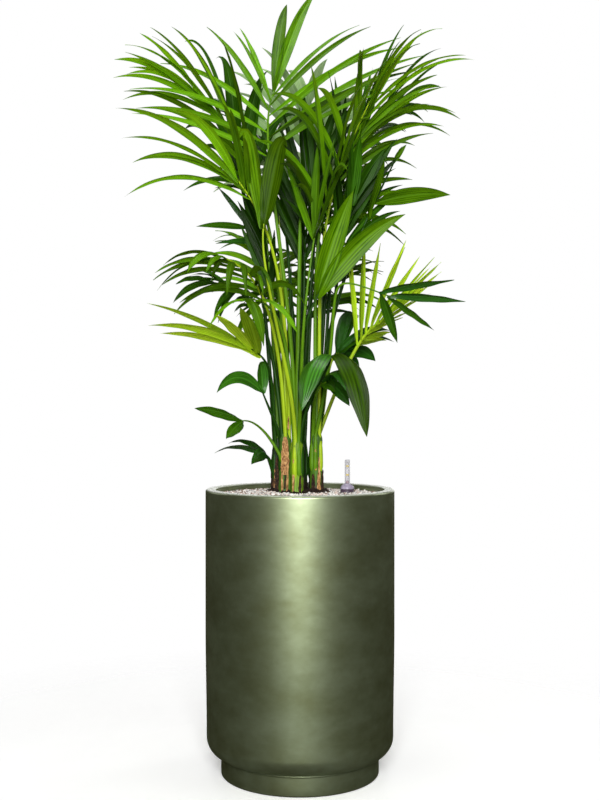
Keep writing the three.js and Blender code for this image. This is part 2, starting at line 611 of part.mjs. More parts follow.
// ---- a leaflet ----
function leafStart(frond, index, pair, sign, curve, tweak) {
  const last = pair === frond.pairs - 1;
  const q = frond.pairs > 1 ? pair / (frond.pairs - 1) : 1;
  let share = frond.bare + (1 - frond.bare) * q;
  if (!last) {
    share = Math.min(1, share + 0.3 * sign * (1 - frond.bare) / frond.pairs);
  }
  const { point, direction } = alongRib(curve.points, share - LEAF_SUNK / curve.length);
  const face = radians(frond.face ?? frond.heading);
  const flat = new THREE.Vector3(-Math.sin(face), Math.cos(face), 0);
  const side0 = flat.addScaledVector(direction, -flat.dot(direction)).normalize();
  const upper0 = direction.clone().cross(side0);
  const roll = radians(frond.roll ?? 0);
  const side = side0.clone().multiplyScalar(Math.cos(roll)).addScaledVector(upper0, Math.sin(roll));
  const upper = upper0.clone().multiplyScalar(Math.cos(roll)).addScaledVector(side0, -Math.sin(roll));
  const seed = frond.seed ?? index;
  const c1 = chance(seed, pair, sign, 1);
  const c2 = chance(seed, pair, sign, 2);
  const c3 = chance(seed, pair, sign, 3);
  let spread = frond.spread[0] + (frond.spread[1] - frond.spread[0]) * q + (c1 - 0.5) * 15;
  if (last) {
    spread = frond.fork;
  }
  spread = radians(spread + tweak[0]);
  const lift = radians(frond.lift + (c2 - 0.5) * 26 + tweak[1]);
  const out = side.clone().multiplyScalar(sign * Math.cos(lift)).addScaledVector(upper, Math.sin(lift));
  const heading = direction.clone().multiplyScalar(Math.cos(spread)).addScaledVector(out, Math.sin(spread));
  heading.normalize();
  const top = upper.clone().multiplyScalar(Math.cos(lift)).addScaledVector(side, -sign * Math.sin(lift));
  top.addScaledVector(heading, -top.dot(heading)).normalize();
  let size = 0.6 + 0.4 * Math.sin(Math.PI * (0.3 + 0.62 * q));
  let width = frond.wide * (0.8 + 0.2 * Math.sin(Math.PI * Math.min(1, 0.15 + 0.85 * q)));
  if (last) {
    size = frond.end;
    width = frond.wide * frond.broad;
  }
  const skew = 1 + (frond.skew ?? 0) * sign;
  const length = frond.leaf * size * (0.92 + 0.16 * c3) * skew * tweak[3];
  const droop = frond.droop * (0.75 + 0.5 * c1) * tweak[2];
  const peak = frond.peak ?? WIDEST_AT;
  return { point, heading, top, length, width, droop, peak, bend: frond.bend ?? BEND };
}

function bowed(start, u) {
  const d = start.heading.clone();
  d.z -= start.droop * u ** start.bend;
  return d.normalize();
}

function widthShare(u, peak) {
  const grow = 0.28 + 0.72 * Math.sin(Math.PI / 2 * Math.min(u / peak, 1));
  const fade = 1 - THREE.MathUtils.clamp((u - peak) / (1 - peak), 0, 1) ** 2.1;
  return grow * fade;
}

// A leaflet's solid is three-sided: flat below, with the fold of the blade as a ridge on top.
function leafSkin(start, room) {
  const rings = [];
  const thick = Math.max(LEAF_LEAST, start.length * LEAF_THICKNESS);
  const position = start.point.clone();
  const top = start.top.clone();
  const cuts = start.bend > 2.5 ? CURL_CUTS : LEAF_CUTS;
  for (let i = 0; i <= LEAF_STEPS; i += 1) {
    const u = i / LEAF_STEPS;
    const direction = bowed(start, u);
    top.addScaledVector(direction, -top.dot(direction)).normalize();
    if (cuts.includes(i)) {
      const side = direction.clone().cross(top);
      const half = start.width / 2 * widthShare(u, start.peak) + room;
      if (i === 0 || i === LEAF_STEPS) {
        rings.push([position.clone().addScaledVector(direction, i === 0 ? 0 : room)]);
      } else {
        rings.push([
          position.clone().addScaledVector(side, -half).addScaledVector(top, -thick / 2 - room),
          position.clone().addScaledVector(top, thick / 2 + room * 1.5),
          position.clone().addScaledVector(side, half).addScaledVector(top, -thick / 2 - room),
        ]);
      }
    }
    if (i < LEAF_STEPS) {
      const step = bowed(start, (i + 0.5) / LEAF_STEPS);
      position.addScaledVector(step, start.length / LEAF_STEPS);
    }
  }
  return skin(rings);
}

// ---- everything a leaflet has to stay clear of ----
const placed = [];

function boxOf(points) {
  return new THREE.Box3().setFromArray(points);
}

function remember(owner, shape) {
  placed.push({ owner, box: boxOf(shape.points), solid: solidOf(shape.points, shape.faces) });
}

function isClear(owner, shape) {
  const box = boxOf(shape.points);
  if (box.min.z < GRAVEL_TOP + 12) {
    return false;
  }
  const solid = solidOf(shape.points, shape.faces);
  let clear = true;
  for (const other of placed) {
    if (other.owner !== owner && other.box.intersectsBox(box)) {
      if (!solid.intersect(other.solid).isEmpty()) {
        clear = false;
        break;
      }
    }
  }
  return clear;
}

for (const [key, stem] of Object.entries(STEMS)) {
  const shape = stemSkin(stem);
  add(`stem_${key.toLowerCase()}`, geometryOf(shape.points, shape.faces), bark);
  remember(key, shape);
}

// ---- fronds ----
const curves = FRONDS.map(ribCurve);
const ribs = FRONDS.map((frond, index) => ribSkin(frond, curves[index]));
FRONDS.forEach((frond, index) => remember(index, ribs[index]));

FRONDS.forEach((frond, index) => {
  const pieces = [];
  for (let pair = 0; pair < frond.pairs; pair += 1) {
    for (const sign of [1, -1]) {
      for (const tweak of TWEAKS) {
        const start = leafStart(frond, index, pair, sign, curves[index], tweak);
        if (isClear(index, leafSkin(start, LEAF_KEEP))) {
          pieces.push(leafSkin(start, 0));
          break;
        }
      }
    }
  }
  let whole = solidOf(ribs[index].points, ribs[index].faces);
  for (const piece of pieces) {
    remember(index, piece);
    whole = whole.add(solidOf(piece.points, piece.faces));
  }
  add(`frond_${frond.name}`, geometryOfSolid(whole), material(COLOURS[frond.tone], 0.5, 0));
});

export default model;
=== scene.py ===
"""Kentia palm in a tall round planter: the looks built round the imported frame. Sizes are in mm."""
import random
from dataclasses import dataclass, replace
from itertools import combinations
from math import cos, exp, floor, hypot, pi, radians, remainder, sin, sqrt

import bpy
import numpy as np
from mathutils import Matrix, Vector, kdtree, noise


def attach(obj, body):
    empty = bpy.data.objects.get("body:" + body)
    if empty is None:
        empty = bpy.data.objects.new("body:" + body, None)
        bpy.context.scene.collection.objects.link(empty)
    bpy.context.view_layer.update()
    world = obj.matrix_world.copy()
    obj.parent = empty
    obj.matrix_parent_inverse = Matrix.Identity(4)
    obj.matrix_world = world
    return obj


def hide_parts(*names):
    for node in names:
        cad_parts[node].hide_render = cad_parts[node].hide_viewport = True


MM = 0.001
UP = np.array([0, 0, 1])

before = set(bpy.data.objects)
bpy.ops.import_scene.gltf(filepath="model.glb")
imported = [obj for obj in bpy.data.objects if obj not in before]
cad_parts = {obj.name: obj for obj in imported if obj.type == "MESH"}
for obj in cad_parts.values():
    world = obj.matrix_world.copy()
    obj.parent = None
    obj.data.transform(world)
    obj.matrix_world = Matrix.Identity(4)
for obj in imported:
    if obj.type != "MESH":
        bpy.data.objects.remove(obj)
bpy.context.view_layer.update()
dice = random.Random(11)

# ---- sizes shared with the part's source ----
POT_RADIUS = 200
POT_HEIGHT = 600
POT_WAIST_RADIUS = 197.5
POT_STRAIGHT_FROM = 310
RIM_WIDTH = 21
RIM_DEPTH = 34
WALL = 9
FLOOR = 14
CORNER = 38
PLINTH_RADIUS = 167
PLINTH_HEIGHT = 40
GRAVEL_TOP = 585
ROOT_BALL_RADIUS = 84
ROOT_BALL_TOP = 590
ROOT_BALL_BOTTOM = 430
GAUGE = (103, 60, GRAVEL_TOP + 0.3)
GAUGE_CAP_HEIGHT = 21
GAUGE_TUBE_RADIUS = 5.8
GAUGE_TUBE_BORE = 4.6
GAUGE_TUBE_HEIGHT = 52
GAP = 0.3
STEM_FOOT = 590.3
STALK_FOOT = 2.8
STALK_RADIUS = 4.3
STALK_TIP = 1.6
STALK_INSET = 4.6
RIB_SPANS = 16
LEAF_STEPS = 16
LEAF_SUNK = 6
# Tried in turn until a leaflet is clear of the other fronds: more spread, more lift, droop and length factors
TWEAKS = [
    (0, 0, 1, 1), (5, 0, 1, 1), (-5, 0, 1, 1), (0, 8, 1, 1), (0, -8, 1, 1),
    (8, 8, 1, 0.96), (-8, -8, 1, 0.96), (8, -8, 1, 0.96), (-8, 8, 1, 0.96),
    (0, 16, 0.9, 0.92), (0, -16, 1.1, 0.92), (12, 0, 1.1, 0.9), (-12, 0, 0.9, 0.9),
    (0, 0, 1.25, 0.85), (0, 12, 0.7, 0.85), (10, -14, 1.1, 0.78), (-10, 14, 0.9, 0.78),
    (0, 24, 1, 0.7), (0, -24, 1, 0.7), (0, 0, 1, 0.6),
]


@dataclass
class Stem:
    """One cane of the clump: its place, its radius and the height of its top."""
    x: float
    y: float
    radius: float
    top: float

    def radius_at(self, z):
        share = (z - STEM_FOOT) / (self.top - STEM_FOOT)
        return self.radius * np.interp(share, (0, 0.12, 0.4, 1), (1.14, 1.1, 1.03, 1))

    def around(self, radius, angle, z):
        return np.array([self.x + radius * cos(angle), self.y + radius * sin(angle), z])


STEMS = {
    "A": Stem(-47, 34, 12.5, 690), "B": Stem(-31, 2, 13, 712), "C": Stem(-6, -20, 12, 702),
    "D": Stem(2, 50, 13, 700), "E": Stem(35, 0, 13, 715), "F": Stem(33, 48, 12.5, 694),
}


@dataclass
class Frond:
    """One frond. Angles are in degrees, and headings turn from +X to +Y."""
    name: str
    stem: str
    tone: str
    seed: int
    seat: float  # where its foot stands on the stem's top
    tip: tuple  # the rib's end: distance and heading from the stem, height
    rise: tuple  # first handle of the rib's curve: length, lean, heading
    fall: tuple  # last handle: length, lean, heading
    face: float  # where the upper side looks
    roll: float  # turn of the blade about the rib
    bare: float  # share of the rib below the first leaflets
    pairs: int
    leaf: tuple  # a leaflet's length and width
    spread: tuple  # a leaflet's angle to the rib: first pair, last pair, end pair
    lift: float  # a leaflet's angle above the blade
    droop: float
    end: tuple  # the end pair's share of the length and width
    skew: float = 0  # how much longer one side's leaflets are, and the other's shorter
    bend: float = 1.4  # how late a leaflet droops
    peak: float = 0.4  # where a leaflet is widest
    foot: float = None  # height of a foot on the stem's side


FRONDS = [
    Frond("crown_front", "C", "mid", 828, 107, (55, 153, 1446), (401, 1.3, 200), (192, 45, 72),
        286, -12, 0.792, 7, (370, 17), (57, 21, 4), 4, 0.48, (1.06, 1.9), 0.11),
    Frond("front_pair", "C", "young", 1, 237, (127, 238, 1139), (141, 0.7, 210), (95, 9, 330),
        249, -10, 0.985, 1, (269, 44), (50, 32, 11), 8, 2.34, (0.77, 1), -0.05, bend=6, peak=0.6),
    Frond("centre_pair", "C", "mid", 606, 291, (86, 295, 1127), (175, 8.8, 295), (225, 13, 48),
        243, -25, 0.985, 2, (243, 21), (28, 20, 9), -10, 0.15, (0.83, 1), 0.05),
    Frond("mid_pair", "C", "young", 270, 49, (78, 304, 1004), (140, 2.5, 304), (103, 29, 2),
        289, 6, 0.98, 1, (250, 46), (50, 32, 10), 3, 0.51, (0.98, 1), 0.01),
    Frond("left_front", "B", "mid", 540, 350, (149, 230, 1234), (356, 1, 230), (110, 42, 206),
        219, 7, 0.93, 4, (259, 19), (34, 33, 12), 7, 0.91, (1.03, 1.75), -0.13),
    Frond("right_fan", "E", "mid", 739, 109, (102, 334, 1348), (467, 0.1, 334), (238, 39, 314),
        320, 5, 0.666, 8, (322, 21), (50, 13, 20), -11, 0.71, (0.76, 1.1), -0.19),
    Frond("front_hang", "C", "mid", 775, 159, (188, 236, 987), (210, 5, 236), (170, 96, 243),
        282, 14, 0.871, 2, (146, 24), (75, 50, 47), -6, 2.02, (0.92, 1), 0.24),
    Frond("front_low", "C", "mid", 411, 345, (153, 296, 875), (85, 4.5, 296), (119, 83, 266),
        292, 2, 0.96, 1, (258, 56), (44, 30, 30), -10, 4, (0.81, 1), 0.15),
    Frond("right_mid", "F", "mid", 229, 235, (172, 349, 1298), (325, 5, 349), (165, 36, 49),
        305, 3, 0.811, 2, (177, 38), (40, 20, 3), -24, 0.29, (0.3, 0.3), 0.16),
    Frond("right_droop", "E", "dark", 655, 258, (172, 331, 1000), (329, 15.1, 331), (186, 110, 8),
        6, -28, 0.96, 2, (187, 26), (56, 35, 26), 0, 0.09, (0.8, 0.9), -0.09, bend=1.2),
    Frond("left_back", "A", "dark", 557, 173, (105, 149, 1338), (320, 4, 149), (196, 14, 171),
        251, -10, 0.869, 4, (260, 34), (25, 27, 7), 33, 0.95, (1.07, 1.1), -0.1, bend=2.7),
    Frond("left_high", "B", "mid", 511, 55, (189, 169, 1446), (450, 1.3, 169), (195, 50, 147),
        221, -8, 0.729, 7, (326, 19), (19, 4, 8), -3, 0.64, (0.71, 1.2), -0.13),
    Frond("left_low", "A", "lime", 659, 221, (122, 238, 899), (154, 5.5, 238), (77, 70, 216),
        225, 11, 0.853, 3, (235, 38), (28, 23, 5), 0, 0.42, (1.13, 0.72), 0.03),
    Frond("right_high", "E", "mid", 33, 321, (126, 330, 1405), (371, 0, 330), (285, 41, 308),
        330, -8, 0.616, 9, (319, 19), (50, 27, 3), 11, 0.87, (0.68, 1.1), 0.07),
    Frond("left_tall", "B", "dark", 30, 118, (40, 183, 1135), (169, 1.1, 183), (94, 4, 183),
        262, 0, 0.72, 4, (200, 30), (16, 8, 6), 4, 0.2, (0.8, 1)),
    Frond("centre_dark", "D", "dark", 28, 282, (27, 338, 1261), (281, 2, 338), (169, 10, 338),
        275, 0, 0.68, 6, (250, 27), (26, 12, 8), 4, 0.3, (0.8, 1)),
    Frond("left_mid", "A", "dark", 543, 107, (89, 140, 1169), (319, 3.7, 140), (175, 61, 162),
        234, 0, 0.899, 2, (134, 15), (44, 26, 24), -5, 0.31, (0.94, 1), -0.07),
    Frond("left_droop", "B", "mid", 6, 270, (194, 227, 1077), (256, 4, 227), (124, 82, 227),
        227, -6, 0.68, 7, (205, 21), (58, 36, 12), -6, 1.3, (0.65, 1.3)),
    Frond("right_back", "F", "dark", 9, 4, (184, 24, 1434), (379, 5.4, 24), (208, 50, 23),
        335, 8, 0.64, 9, (285, 19), (38, 18, 12), 6, 0.7, (0.65, 1.3)),
    Frond("right_hang", "E", "dark", 11, 44, (85, 332, 1200), (260, 7.9, 332), (104, 20, 332),
        300, 0, 0.78, 4, (215, 27), (26, 14, 12), -4, 0.5, (0.65, 1.3)),
    Frond("right_lime", "F", "lime", 250, 283, (157, 7, 975), (297, 19.8, 7), (60, 51, 306),
        318, 4, 0.716, 7, (198, 17), (51, 13, 6), 10, 0.12, (0.85, 1.3), -0.1),
    Frond("right_low", "F", "dark", 823, 61, (82, 42, 893), (80, 22, 42), (54, 99, 40),
        289, 42, 0.913, 4, (179, 28), (8, 55, 9), 45, 0.87, (0.87, 1.3), -0.22),
    Frond("back_centre", "D", "pale", 16, 66, (101, 83, 1449), (378, 2, 83), (227, 16, 83),
        90, 0, 0.7, 7, (255, 26), (46, 26, 12), 6, 0.95, (0.55, 1.3)),
    Frond("back_right", "D", "pale", 17, 354, (158, 55, 1433), (375, 5, 55), (225, 34, 55),
        50, 0, 0.68, 8, (260, 24), (46, 26, 12), 6, 1, (0.65, 1.3)),
    Frond("back_left", "D", "dark", 18, 210, (154, 123, 1383), (350, 5, 123), (210, 34, 123),
        130, 0, 0.68, 8, (250, 22), (46, 26, 12), 6, 1, (0.65, 1.3)),
    Frond("back_low_left", "A", "mid", 19, 24, (200, 102, 1148), (243, 10.3, 102), (93, 60, 102),
        110, 0, 0.66, 6, (165, 20), (48, 30, 12), 0, 0.9, (0.65, 1.3)),
    Frond("back_low_right", "F", "mid", 20, 174, (198, 76, 1136), (254, 4.2, 76), (131, 60, 76),
        70, 0, 0.66, 6, (160, 20), (48, 30, 12), 0, 0.9, (0.65, 1.3)),
    Frond("back_droop", "D", "dark", 21, 138, (220, 90, 1069), (215, 6, 90), (120, 86, 90),
        90, 0, 0.62, 7, (190, 21), (56, 34, 12), -4, 1.1, (0.65, 1.3)),
    Frond("young_left", "B", "dark", 152, 228, (119, 222, 745), (12, 24, 222), (88, 94, 246),
        164, -42, 0.958, 1, (144, 25), (37, 36, 18), 5, 0.18, (1.05, 1), -0.02, foot=668),
    Frond("young_low", "A", "dark", 642, 215, (40, 231, 672), (31, 24, 231), (11, 49, 240),
        275, -49, 0.851, 2, (119, 25), (11, 11, 25), -31, 0.86, (1.04, 1), -0.19, foot=639),
    Frond("young_mid", "A", "mid", 147, 320, (62, 238, 807), (39, 12.8, 238), (54, 28, 225),
        281, 30, 0.97, 1, (112, 27), (50, 32, 21), -1, 1.56, (1.03, 1), -0.22),
    Frond("left_droop_back", "B", "dark", 762, 203, (152, 183, 1037), (233, 4.6, 183), (162, 89, 235),
        211, -36, 0.643, 5, (154, 18), (64, 21, 19), 0, 0.93, (0.89, 1.3), 0.17),
    Frond("right_low_front", "E", "dark", 682, 211, (109, 285, 825), (61, 7.9, 285), (40, 92, 342),
        263, -53, 0.869, 2, (123, 27), (9, 40, 35), -40, 0.97, (1.08, 1), -0.4),
    Frond("right_tall", "F", "dark", 41, 125, (89, 28, 1319), (289, 8, 28), (193, 24, 28),
        300, 0, 0.64, 7, (265, 24), (30, 12, 8), 4, 0.45, (0.8, 1.1)),
]


# ---- small helpers ----
def unit(v):
    return v / np.linalg.norm(v)


def chance(a, b, c, d):
    """The part's source's own number from 0 to 1, always the same for the same four."""
    x = sin(a * 12.9898 + b * 78.233 + c * 37.719 + d * 4.581) * 43758.5453
    return x - floor(x)


def aim(lean, heading):
    a, h = radians(lean), radians(heading)
    return np.array([sin(a) * cos(h), sin(a) * sin(h), cos(a)])


def smooth(x):
    x = min(max(x, 0), 1)
    return x * x * (3 - 2 * x)


def grain(x, y, z):
    return noise.noise(Vector((x, y, z)))


def turns(count):
    """Angles evenly round a circle."""
    return np.linspace(0, 2 * pi, count, endpoint=False)


def in_scene(name, data):
    """A new object of the scene that shows the data."""
    made = bpy.data.objects.new(name, data)
    bpy.context.scene.collection.objects.link(made)
    return made


def new_object(name, points, faces, materials, looks=None, spots=None):
    """A smooth mesh of points in metres. looks gives each face its material and spots its UV places."""
    mesh = bpy.data.meshes.new(name)
    mesh.from_pydata(points.tolist(), [], faces)
    if spots is not None:
        mesh.uv_layers.new(name="place").data.foreach_set("uv", spots.reshape(-1))
    if looks is not None:
        mesh.polygons.foreach_set("material_index", looks)
    mesh.polygons.foreach_set("use_smooth", np.ones(len(faces), bool))
    mesh.update()
    for material in materials:
        mesh.materials.append(material)
    return in_scene(name, mesh)


class Skin:
    """Grids of points gathered into one mesh, with a UV place and a material number for each face."""

    def __init__(self):
        self.sheets, self.count = [], 0

    def sheet(self, grid, place=None, look=0, length=1, round_=False, flip=False):
        """A grid of rows by columns of points. A round_ sheet closes its last column on the first."""
        grid = np.asarray(grid, float)
        rows, cols = grid.shape[:2]
        number = self.count + np.arange(rows * cols).reshape(rows, cols)
        if round_:
            number = np.concatenate([number, number[:, :1]], axis=1)
        if place is None:
            sizes = np.linspace(0, length, rows), np.linspace(0, 1, number.shape[1])
            place = np.stack(np.meshgrid(*sizes, indexing="ij"), -1)
        corners = []
        for values in (number, np.asarray(place)):
            v = values.swapaxes(0, 1) if flip else values
            corners.append(np.stack([v[:-1, :-1], v[:-1, 1:], v[1:, 1:], v[1:, :-1]], 2))
        quads, spots = corners[0].reshape(-1, 4), corners[1].reshape(-1, 4, 2)
        self.sheets.append((grid.reshape(-1, 3), quads, spots, np.full(len(quads), look)))
        self.count += rows * cols

    def object(self, name, materials):
        points, quads, spots, looks = (np.concatenate(part) for part in zip(*self.sheets))
        made = new_object(name, points * MM, quads.tolist(), materials, looks, spots)
        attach(made, "root")
        return made


def lathe(name, profile, sides, material, centre=(0, 0, 0)):
    """A turned piece about +Z from (radius, height) pairs that run round it once, seen from outside."""
    skin = Skin()
    x, y, low = centre
    skin.sheet([[(x + r * cos(a), y + r * sin(a), low + z) for a in turns(sides)] for r, z in profile],
               round_=True)
    return skin.object(name, [material])


def arc(cx, cz, radius, start, end, steps):
    angle = np.radians(np.linspace(start, end, steps + 1))
    return [(cx + radius * cos(a), cz + radius * sin(a)) for a in angle]


def dress(piece, slot, *nodes):
    """The piece stands in for the nodes' plain solids."""
    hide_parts(*nodes)


# ---- materials ----
def linear(tone):
    """A linear colour from a hex code or a grey level. A linear colour stays as it is."""
    if isinstance(tone, str):
        parts = [int(tone[i:i + 2], 16) / 255 for i in (0, 2, 4)]
        return tuple(p / 12.92 if p <= 0.04045 else ((p + 0.055) / 1.055) ** 2.4 for p in parts)
    return tone if isinstance(tone, tuple) else (tone,) * 3


def shaded(codes, factor=1):
    return [tuple(min(1, c * factor) for c in linear(code)) for code in codes]


class Look:
    """A node material under construction. The shader's constant values go straight on its sockets."""

    def __init__(self, name, **values):
        self.material = bpy.data.materials.new(name)
        self.material.use_nodes = True
        self.tree = self.material.node_tree
        self.shader = self.tree.nodes["Principled BSDF"]
        self.shade(**values)

    def put(self, socket, value):
        """A socket takes the output of a node, a colour or a number."""
        if isinstance(value, bpy.types.NodeSocket):
            self.tree.links.new(value, socket)
        elif value is not None:
            socket.default_value = (*value, 1) if isinstance(value, tuple) else value

    def set(self, node, **values):
        for key, value in values.items():
            self.put(node.inputs[key.replace("_", " ")], value)
        return node

    def shade(self, **values):
        self.set(self.shader, **values)

    def node(self, kind, **settings):
        made = self.tree.nodes.new("ShaderNode" + kind)
        for key, value in settings.items():
            setattr(made, key, value)
        return made

    def coordinates(self, which, stretch):
        mapped = self.set(self.node("Mapping"), Vector=self.node("TexCoord").outputs[which])
        mapped.inputs["Scale"].default_value = stretch
        return mapped.outputs["Vector"]

    def axis(self, which, name):
        """One of the coordinates of the UV place or of the object's own space."""
        return self.set(self.node("SeparateXYZ"), Vector=self.node("TexCoord").outputs[which]).outputs[name]

    def noise(self, which, stretch, scale, detail=3, rough=0.5):
        made = self.set(self.node("TexNoise"), Scale=scale, Detail=detail, Roughness=rough,
                        Vector=self.coordinates(which, stretch))
        return made.outputs["Fac"]

    def ramp(self, value, *stops):
        """A tone by value. A stop is a value and a hex code, a grey level or a linear colour."""
        made = self.set(self.node("ValToRGB"), Fac=value)
        points = made.color_ramp.elements
        while len(points) < len(stops):
            points.new(0.5)
        for point, (at, tone) in zip(points, stops):
            point.position = at
            point.color = (*linear(tone), 1)
        return made.outputs["Color"]

    def mix(self, share, a, b, blend="MIX"):
        made = self.node("Mix", data_type="RGBA", blend_type=blend)
        for number, value in ((0, share), (6, a), (7, b)):
            self.put(made.inputs[number], value)
        return made.outputs[2]

    def math(self, kind, a, b=None):
        made = self.node("Math", operation=kind)
        self.put(made.inputs[0], a)
        self.put(made.inputs[1], b)
        return made.outputs[0]

    def bump(self, height, strength, distance):
        made = self.set(self.node("Bump"), Strength=strength, Distance=distance, Height=height)
        self.shade(Normal=made.outputs["Normal"])

    def surface(self, output):
        self.set(self.tree.nodes["Material Output"], Surface=output)
        return self.material

    def blended(self, share, first, second):
        """The finished material, a mix of two shaders."""
        both = self.node("MixShader")
        for socket, value in zip(both.inputs, (share, first.outputs[0], second.outputs[0])):
            self.put(socket, value)
        return self.surface(both.outputs[0])


def leaf_look(name, tones, glow, rough, shine=0.09):
    """Blade of a leaflet: veins along it, a paler midrib, stripes of painted light and shade along its
    pleats, light that comes through from behind.
    """
    deep, light, through = tones
    look = Look(name, Roughness=rough, Specular_IOR_Level=shine)
    streak = look.noise("UV", (0.9, 7, 1), 1, 3, 0.6)
    patch = look.noise("UV", (1.6, 0.7, 1), 1, 2)
    body = look.ramp(streak, (0.38, deep), (0.62, light))
    body = look.mix(look.ramp(patch, (0.4, 0), (0.7, 0.6)), body, light)
    body = look.mix(look.ramp(patch, (0.28, 0.55), (0.45, 0)), body, deep)
    rib = look.ramp(look.math("ABSOLUTE", look.axis("UV", "Y")), (0.02, 1), (0.09, 0))
    pale = tuple(min(1, c * 1.7 + 0.02) for c in light)
    body = look.mix(look.math("MULTIPLY", rib, 0.6), body, pale)
    lines = look.node("TexWave", wave_type="BANDS", bands_direction="Y")
    look.set(lines, Scale=1.3, Distortion=0.5, Detail=1, Vector=look.coordinates("UV", (0.3, 1, 1)))
    # Painted shade and light of the pleats' folds, multiplied into the colour
    pleat_light_and_shade = look.ramp(lines.outputs["Fac"], (0.1, 0.66), (0.8, 1.1))
    look.shade(Base_Color=look.mix(1, body, pleat_light_and_shade, "MULTIPLY"))
    look.bump(look.math("ADD", look.math("MULTIPLY", lines.outputs["Fac"], 0.6), streak), 0.5, 0.0006)
    return look.blended(glow, look.shader, look.set(look.node("BsdfTranslucent"), Color=through))


def stalk_look(name, deep, light, rough):
    look = Look(name, Roughness=rough, Specular_IOR_Level=0.13)
    streak = look.noise("UV", (2.5, 14, 1), 1, 4, 0.6)
    patch = look.noise("Object", (9, 9, 5), 1, 2)
    body = look.ramp(streak, (0.3, deep), (0.7, light))
    look.shade(Base_Color=look.mix(look.ramp(patch, (0.35, 0), (0.7, 0.55)), body, linear(light)))
    look.bump(streak, 0.5, 0.0008)
    return look.material


def rough_look(name, tones, scale, rough, bump, distance, at=(0.3, 0.7), stretch=(1, 1, 1)):
    look = Look(name, Roughness=rough, Specular_IOR_Level=0.3)
    value = look.noise("Object", stretch, scale, 6, 0.62)
    look.shade(Base_Color=look.ramp(value, *zip(at, tones)))
    look.bump(value, bump, distance)
    return look.material


def lacquer_look():
    """Satin metallic lacquer with a soft cloudy tone, and a painted highlight: paler and less metallic on the
    rim's flat top.
    """
    look = Look("olive_metal_lacquer", Coat_Weight=0.32, Coat_Roughness=0.25)
    under_top = look.math("SUBTRACT", look.axis("Object", "Z"), POT_HEIGHT * MM - 0.0024)
    # Painted highlight on the rim's top 2.4 mm
    painted_rim_highlight = look.ramp(look.math("MULTIPLY", under_top, 500), (0, 0), (1, 1))
    cloud = look.noise("Object", (1, 1, 1.9), 7, 5, 0.55)
    fine = look.noise("Object", (1, 1, 1.3), 32, 3, 0.5)
    both = look.math("ADD", look.math("MULTIPLY", cloud, 0.75), look.math("MULTIPLY", fine, 0.25))
    tone = look.ramp(both, (0.32, "747a55"), (0.5, "8a9472"), (0.68, "a2ae8c"))
    look.shade(Base_Color=look.mix(look.math("MULTIPLY", painted_rim_highlight, 0.8), tone, linear("e2e6dc")),
               Metallic=look.ramp(painted_rim_highlight, (0, 0.92), (1, 0.3)),
               Roughness=look.ramp(both, (0.3, 0.46), (0.7, 0.39)))
    look.bump(look.noise("Object", (1, 1, 1), 900, 1), 0.12, 0.0002)
    return look.material


# For each tone of leaf: how much light it lets through, then its deep, light and lit colours. The pale tone
# is painted light: whitish leaves at the back of the crown that stand for leaves lit from behind. The lime
# tone is a yellow-green, partly brightened as painted light where it glows.
LEAF_TONES = {
    "dark": (0.17, "163a02", "3a6c08", "62a010"),
    "mid": (0.24, "2f5c02", "649a0a", "9ace12"),
    "young": (0.26, "3c7403", "7ab20a", "b0dc18"),
    "lime": (0.24, "90bc10", "bce42c", "d4f43c"),
    "pale": (0.46, "8cbe74", "bfe2a0", "dcf2bc"),
}
# Lit and shaded copies of each leaf tone: painted light and shade, dealt to leaflets by their place in the
# crown
PAINTED_LIGHT_LEVELS = (0.27, 0.62, 1, 1.4)
leaf_looks = {tone: [leaf_look(f"leaf_{tone}_{k}", shaded(codes, f), glow, 0.36 + 0.04 * k)
                     for k, f in enumerate(PAINTED_LIGHT_LEVELS)] for tone, (glow, *codes) in LEAF_TONES.items()}
for tone, codes, *values in (("mid", ("123c06", "3a7a16", "6fae1c"), 0.14, 0.36, 0.42),
                             ("dark", ("0e3208", "2a6212", "569618"), 0.12, 0.38, 0.36)):
    leaf_looks[tone].append(leaf_look(f"leaf_{tone}_gloss", shaded(codes), *values))
# The third stalk look, near black, is painted shade for stalks at the back of the clump and among the canes
stalk_looks = [stalk_look("stalk_green", "1d4505", "628f13", 0.42),
               stalk_look("stalk_yellow", "5e8009", "aac426", 0.4),
               stalk_look("stalk_painted_shade", "061b02", "22490a", 0.44)]
PEAT, CRUMBS = ("140b07", "2b1a11", "4c3323"), ("0d0704", "24150d", "4e3524")
peat_look = rough_look("peat_soil", PEAT, 90, 0.95, 0.9, 0.003, (0.3, 0.52, 0.75))
crumb_look = rough_look("peat_crumbs", CRUMBS, 160, 0.95, 0.9, 0.002, (0.3, 0.6, 0.8))
shadow_look = rough_look("gravel_shade", ("3a332e", "7b716a"), 220, 0.9, 0.8, 0.002)
PEBBLES = {"white": (0.7, "c9c4bf", "f4f1ee"), "rose": (0.75, "b39d94", "e0cfc7"),
           "grey": (0.75, "7e7a7b", "b5b0af"), "brown": (0.8, "5f4c41", "9c8575")}
pebble_looks = [rough_look(f"pebble_{name}", tones, 300, rough, 0.4, 0.0006)
                for name, (rough, *tones) in PEBBLES.items()]


